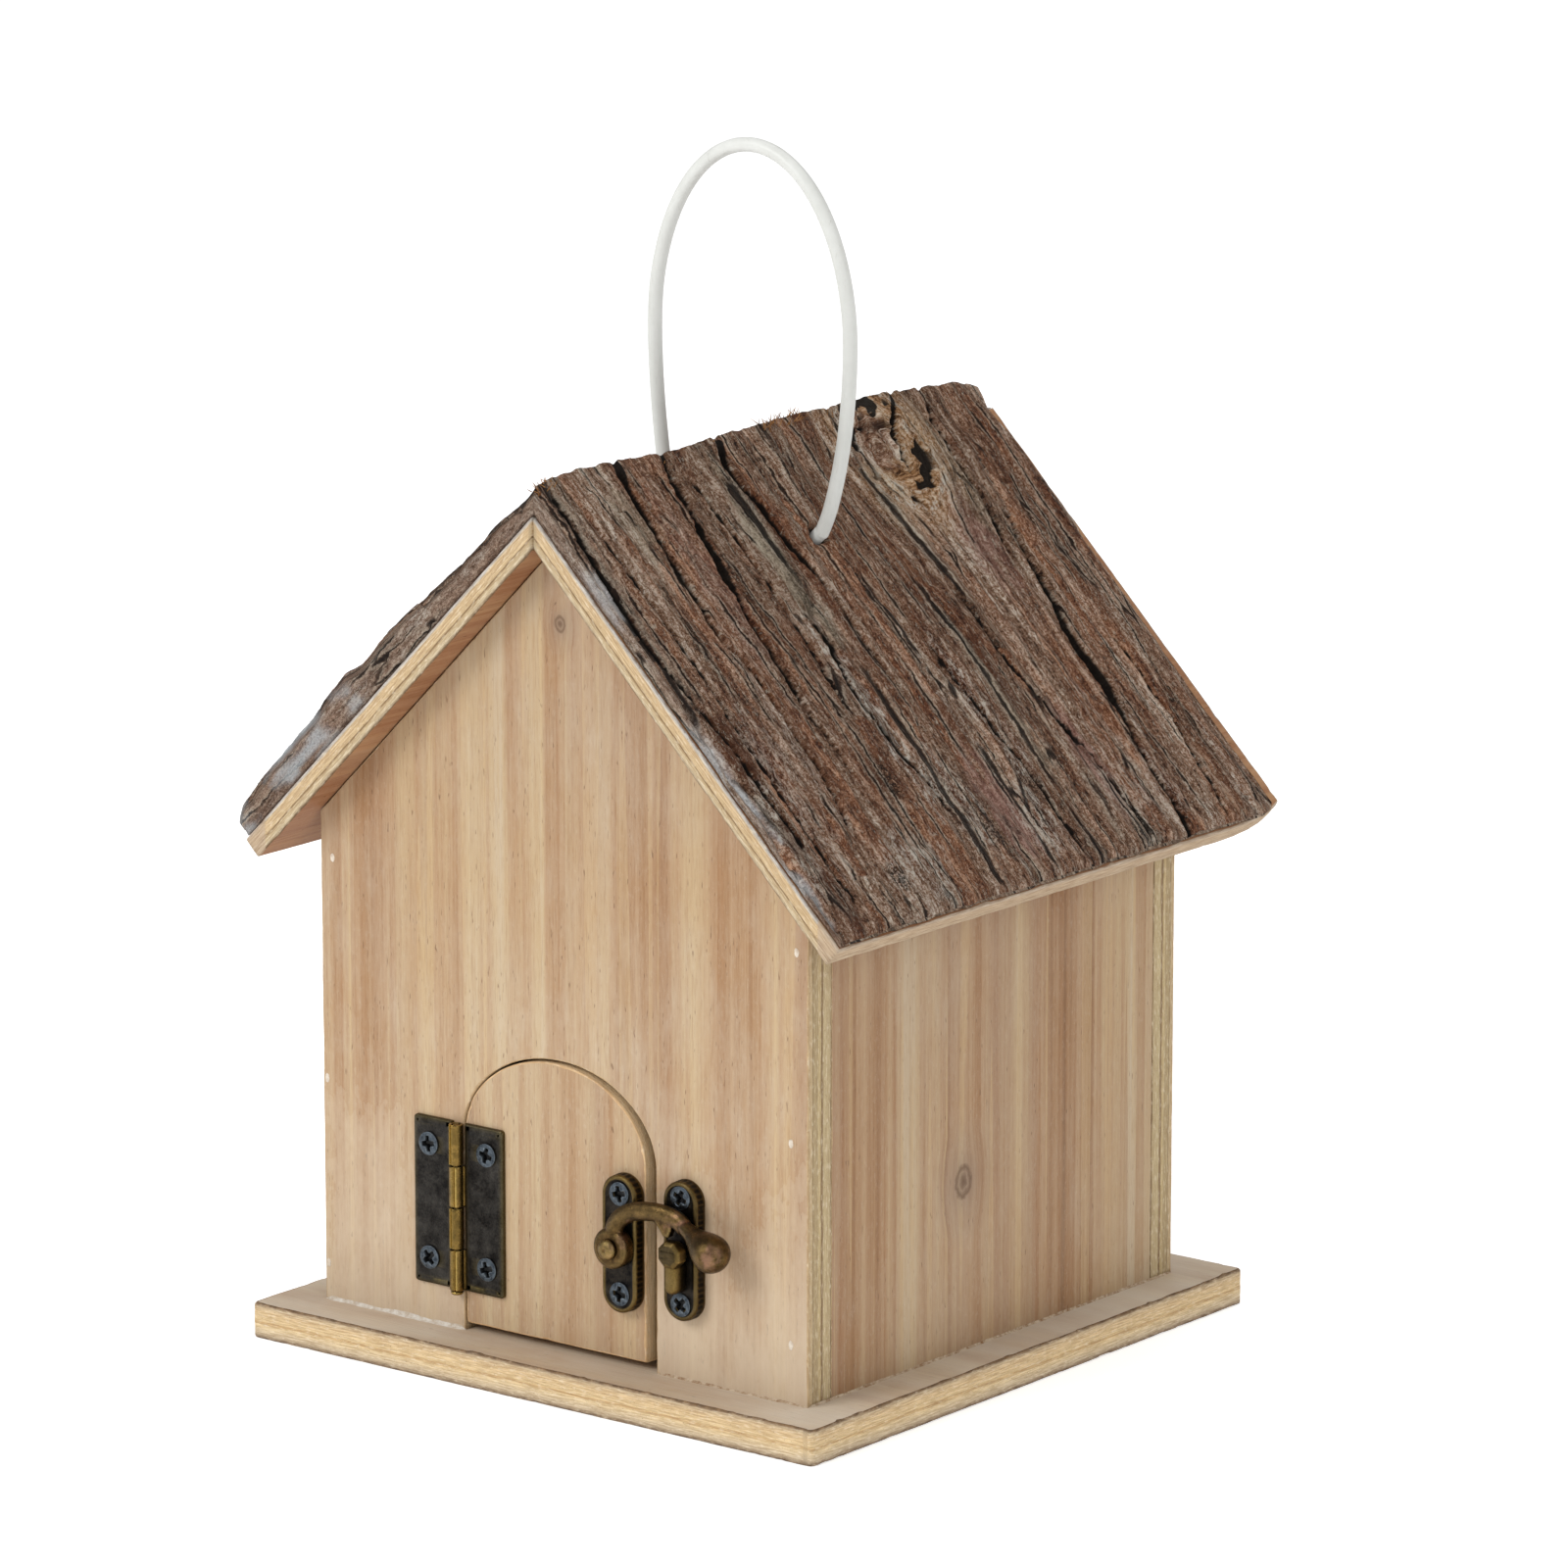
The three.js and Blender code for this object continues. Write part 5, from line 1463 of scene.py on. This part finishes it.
def bead(start, end, outward, seed, size):
    """A ragged fillet of glue and paint along the foot of a wall."""
    start, end, outward = (np.array(value, float) for value in (start, end, outward))
    length = float(np.linalg.norm(end - start))
    stations = np.linspace(0, 1, max(4, round(length / 0.5)))
    floor_z = base_high[2]
    rings = []
    for t in stations:
        along = t * length
        at = start + (end - start) * t
        swell = 1 + 0.45 * float(layered_noise(along / 6, 0, seed, 3))
        fade = min(1.0, t * length / 2 + 0.15, (1 - t) * length / 2 + 0.15)
        out = max(0.12, size * swell * fade)
        up = max(0.12, size * (1 + 0.45 * float(layered_noise(along / 5, 5, seed + 2, 3))) * fade)
        section = [(-0.3, -0.2), (out, -0.2), (out, 0.02), (0.55 * out, 0.14 * up), (0.28 * out, 0.34 * up),
                   (0.12 * out, 0.62 * up), (0.05, up), (-0.3, up)]
        rings.append([(at[0] + outward[0] * a, at[1] + outward[1] * a, floor_z + b) for a, b in section])
    return loft(rings)


def make_fillets():
    x, front, back = front_high[0], front_low[1], back_high[1]
    left_jamb, right_jamb = DOORWAY_X - DOORWAY_HALF, DOORWAY_X + DOORWAY_HALF
    white = paint_finish("foot_white", rgb(206, 200, 190), rgb(176, 160, 140))
    brown = paint_finish("foot_brown", rgb(190, 172, 148), rgb(132, 98, 66))
    thing = piece("foot_bead_white", *merged([bead((-x, front), (left_jamb, front), (0, -1), 3, 0.75)]),
                  HOUSE, "plywood", white)
    face_outwards(thing)
    others = [
        bead((right_jamb, front), (x, front), (0, -1), 8, 0.42),
        bead((x, front), (x, back), (1, 0), 13, 0.42),
        bead((-x, front), (-x, back), (-1, 0), 18, 0.42),
        bead((-x, back), (x, back), (0, 1), 23, 0.42),
    ]
    thing = piece("foot_bead_brown", *merged(others), HOUSE, "plywood", brown)
    face_outwards(thing)


def make_fibres():
    """Frayed bark fibres that stand up along the ridge."""
    shells = []
    tufts = [(77, 92, 70, 2.6), (0.5, 6, 26, 2.2), (98, 104, 12, 1.2), (20, 150, 60, 0.9)]
    for tuft, (near, far, count, reach) in enumerate(tufts):
        for i in range(count):
            pick = [float(lattice(i, k, 90 + tuft)) for k in range(6)]
            u = near + (far - near) * pick[0]
            x = (pick[1] - 0.5) * 3.2
            top = RIDGE_Z + float(ridge_height(np.array(u))) * ROOT2
            root = np.array([x, roof_low[1] + u, top - 0.5 - abs(x)])
            lean = np.array([(pick[2] - 0.5) * 1.6, (pick[3] - 0.62) * 2.0, 0.55 + 0.5 * pick[4]])
            lean /= np.linalg.norm(lean)
            length = reach * (0.5 + 0.8 * pick[5])
            side = np.cross(lean, (0.2, 0.9, 0.1))
            side /= np.linalg.norm(side)
            other = np.cross(lean, side)
            bend = other * length * 0.25 * (pick[1] - 0.5)
            rings = []
            for share, radius in ((0, 0.16), (0.4, 0.12), (0.75, 0.07), (1.0, 0.02)):
                middle = root + lean * length * share + bend * share * share
                rings.append([middle + radius * (math.cos(t) * side + math.sin(t) * other)
                              for t in (0, 2 * math.pi / 3, 4 * math.pi / 3)])
            shells.append(loft(rings))
    f = Finish("bark_fibre", roughness=0.85, specular=0.2)
    tone = f.noise(f.object_place(), (300, 300, 300), detail=3)
    finish = f.done(f.ramp(tone, (0.35, rgb(110, 70, 38)), (0.65, rgb(176, 128, 78))))
    thing = piece("ridge_fibres", *merged(shells), HOUSE, "bark", finish)
    face_outwards(thing)


make_fillers()
make_fillets()
make_fibres()

# ---------------------------------------------------------------- camera, lights and floor
CAMERA_AZIMUTH, CAMERA_ELEVATION = math.radians(38.08), math.radians(12.97)
CAMERA_TARGET = Vector((0.00579, -0.00016, 0.12168))
CAMERA_DISTANCE = 1.934
CAMERA_LENS = 203.4


def make_camera():
    data = bpy.data.cameras.new("camera")
    data.lens = CAMERA_LENS
    data.sensor_width = 36
    camera = bpy.data.objects.new("camera", data)
    flat = math.cos(CAMERA_ELEVATION)
    back = Vector((math.sin(CAMERA_AZIMUTH) * flat, -math.cos(CAMERA_AZIMUTH) * flat,
                   math.sin(CAMERA_ELEVATION)))
    camera.location = CAMERA_TARGET + back * CAMERA_DISTANCE
    camera.rotation_mode = "QUATERNION"
    camera.rotation_quaternion = (-back).to_track_quat("-Z", "Y")
    bpy.context.scene.collection.objects.link(camera)
    bpy.context.scene.camera = camera


def make_light(name, place, size, power, color=(1, 1, 1)):
    data = bpy.data.lights.new(name, "AREA")
    data.shape = "DISK"
    data.size = size
    data.energy = power
    data.color = color
    light = bpy.data.objects.new(name, data)
    light.location = place
    light.rotation_mode = "QUATERNION"
    light.rotation_quaternion = (CAMERA_TARGET - Vector(place)).to_track_quat("-Z", "Y")
    bpy.context.scene.collection.objects.link(light)


def make_floor():
    half = 30.0
    corners = [(-half, -half, 0), (half, -half, 0), (half, half, 0), (-half, half, 0)]
    mesh = bpy.data.meshes.new("floor")
    mesh.from_pydata(corners, [], [(0, 1, 2, 3)])
    floor = bpy.data.objects.new("floor", mesh)
    f = Finish("floor_white", roughness=0.9, specular=0.1)
    f.shader.inputs["Emission Color"].default_value = (1, 1, 1, 1)
    f.shader.inputs["Emission Strength"].default_value = 0.38
    mesh.materials.append(f.done(rgb(250, 250, 250)))
    bpy.context.scene.collection.objects.link(floor)


def make_world():
    """White surroundings, brighter to the camera and dimmer in reflections."""
    world = bpy.data.worlds.new("studio")
    world.use_nodes = True
    background = world.node_tree.nodes["Background"]
    background.inputs["Color"].default_value = (1, 1, 1, 1)
    rays = world.node_tree.nodes.new("ShaderNodeLightPath").outputs
    previous = 0.68
    for ray, change in (("Is Camera Ray", 0.37), ("Is Glossy Ray", -0.33)):
        total = world.node_tree.nodes.new("ShaderNodeMath")
        total.operation = "MULTIPLY_ADD"
        world.node_tree.links.new(rays[ray], total.inputs[0])
        total.inputs[1].default_value = change
        if isinstance(previous, float):
            total.inputs[2].default_value = previous
        else:
            world.node_tree.links.new(previous, total.inputs[2])
        previous = total.outputs[0]
    world.node_tree.links.new(previous, background.inputs["Strength"])
    bpy.context.scene.world = world


make_camera()
make_light("key_light", (-0.55, -1.35, 1.05), 0.9, 14.0)
make_light("fill_light", (1.5, -0.6, 0.8), 1.2, 3.5)
make_light("top_light", (0.1, 0.3, 1.6), 1.2, 6.0)
make_world()
make_floor()
bpy.context.scene.view_settings.view_transform = "Standard"
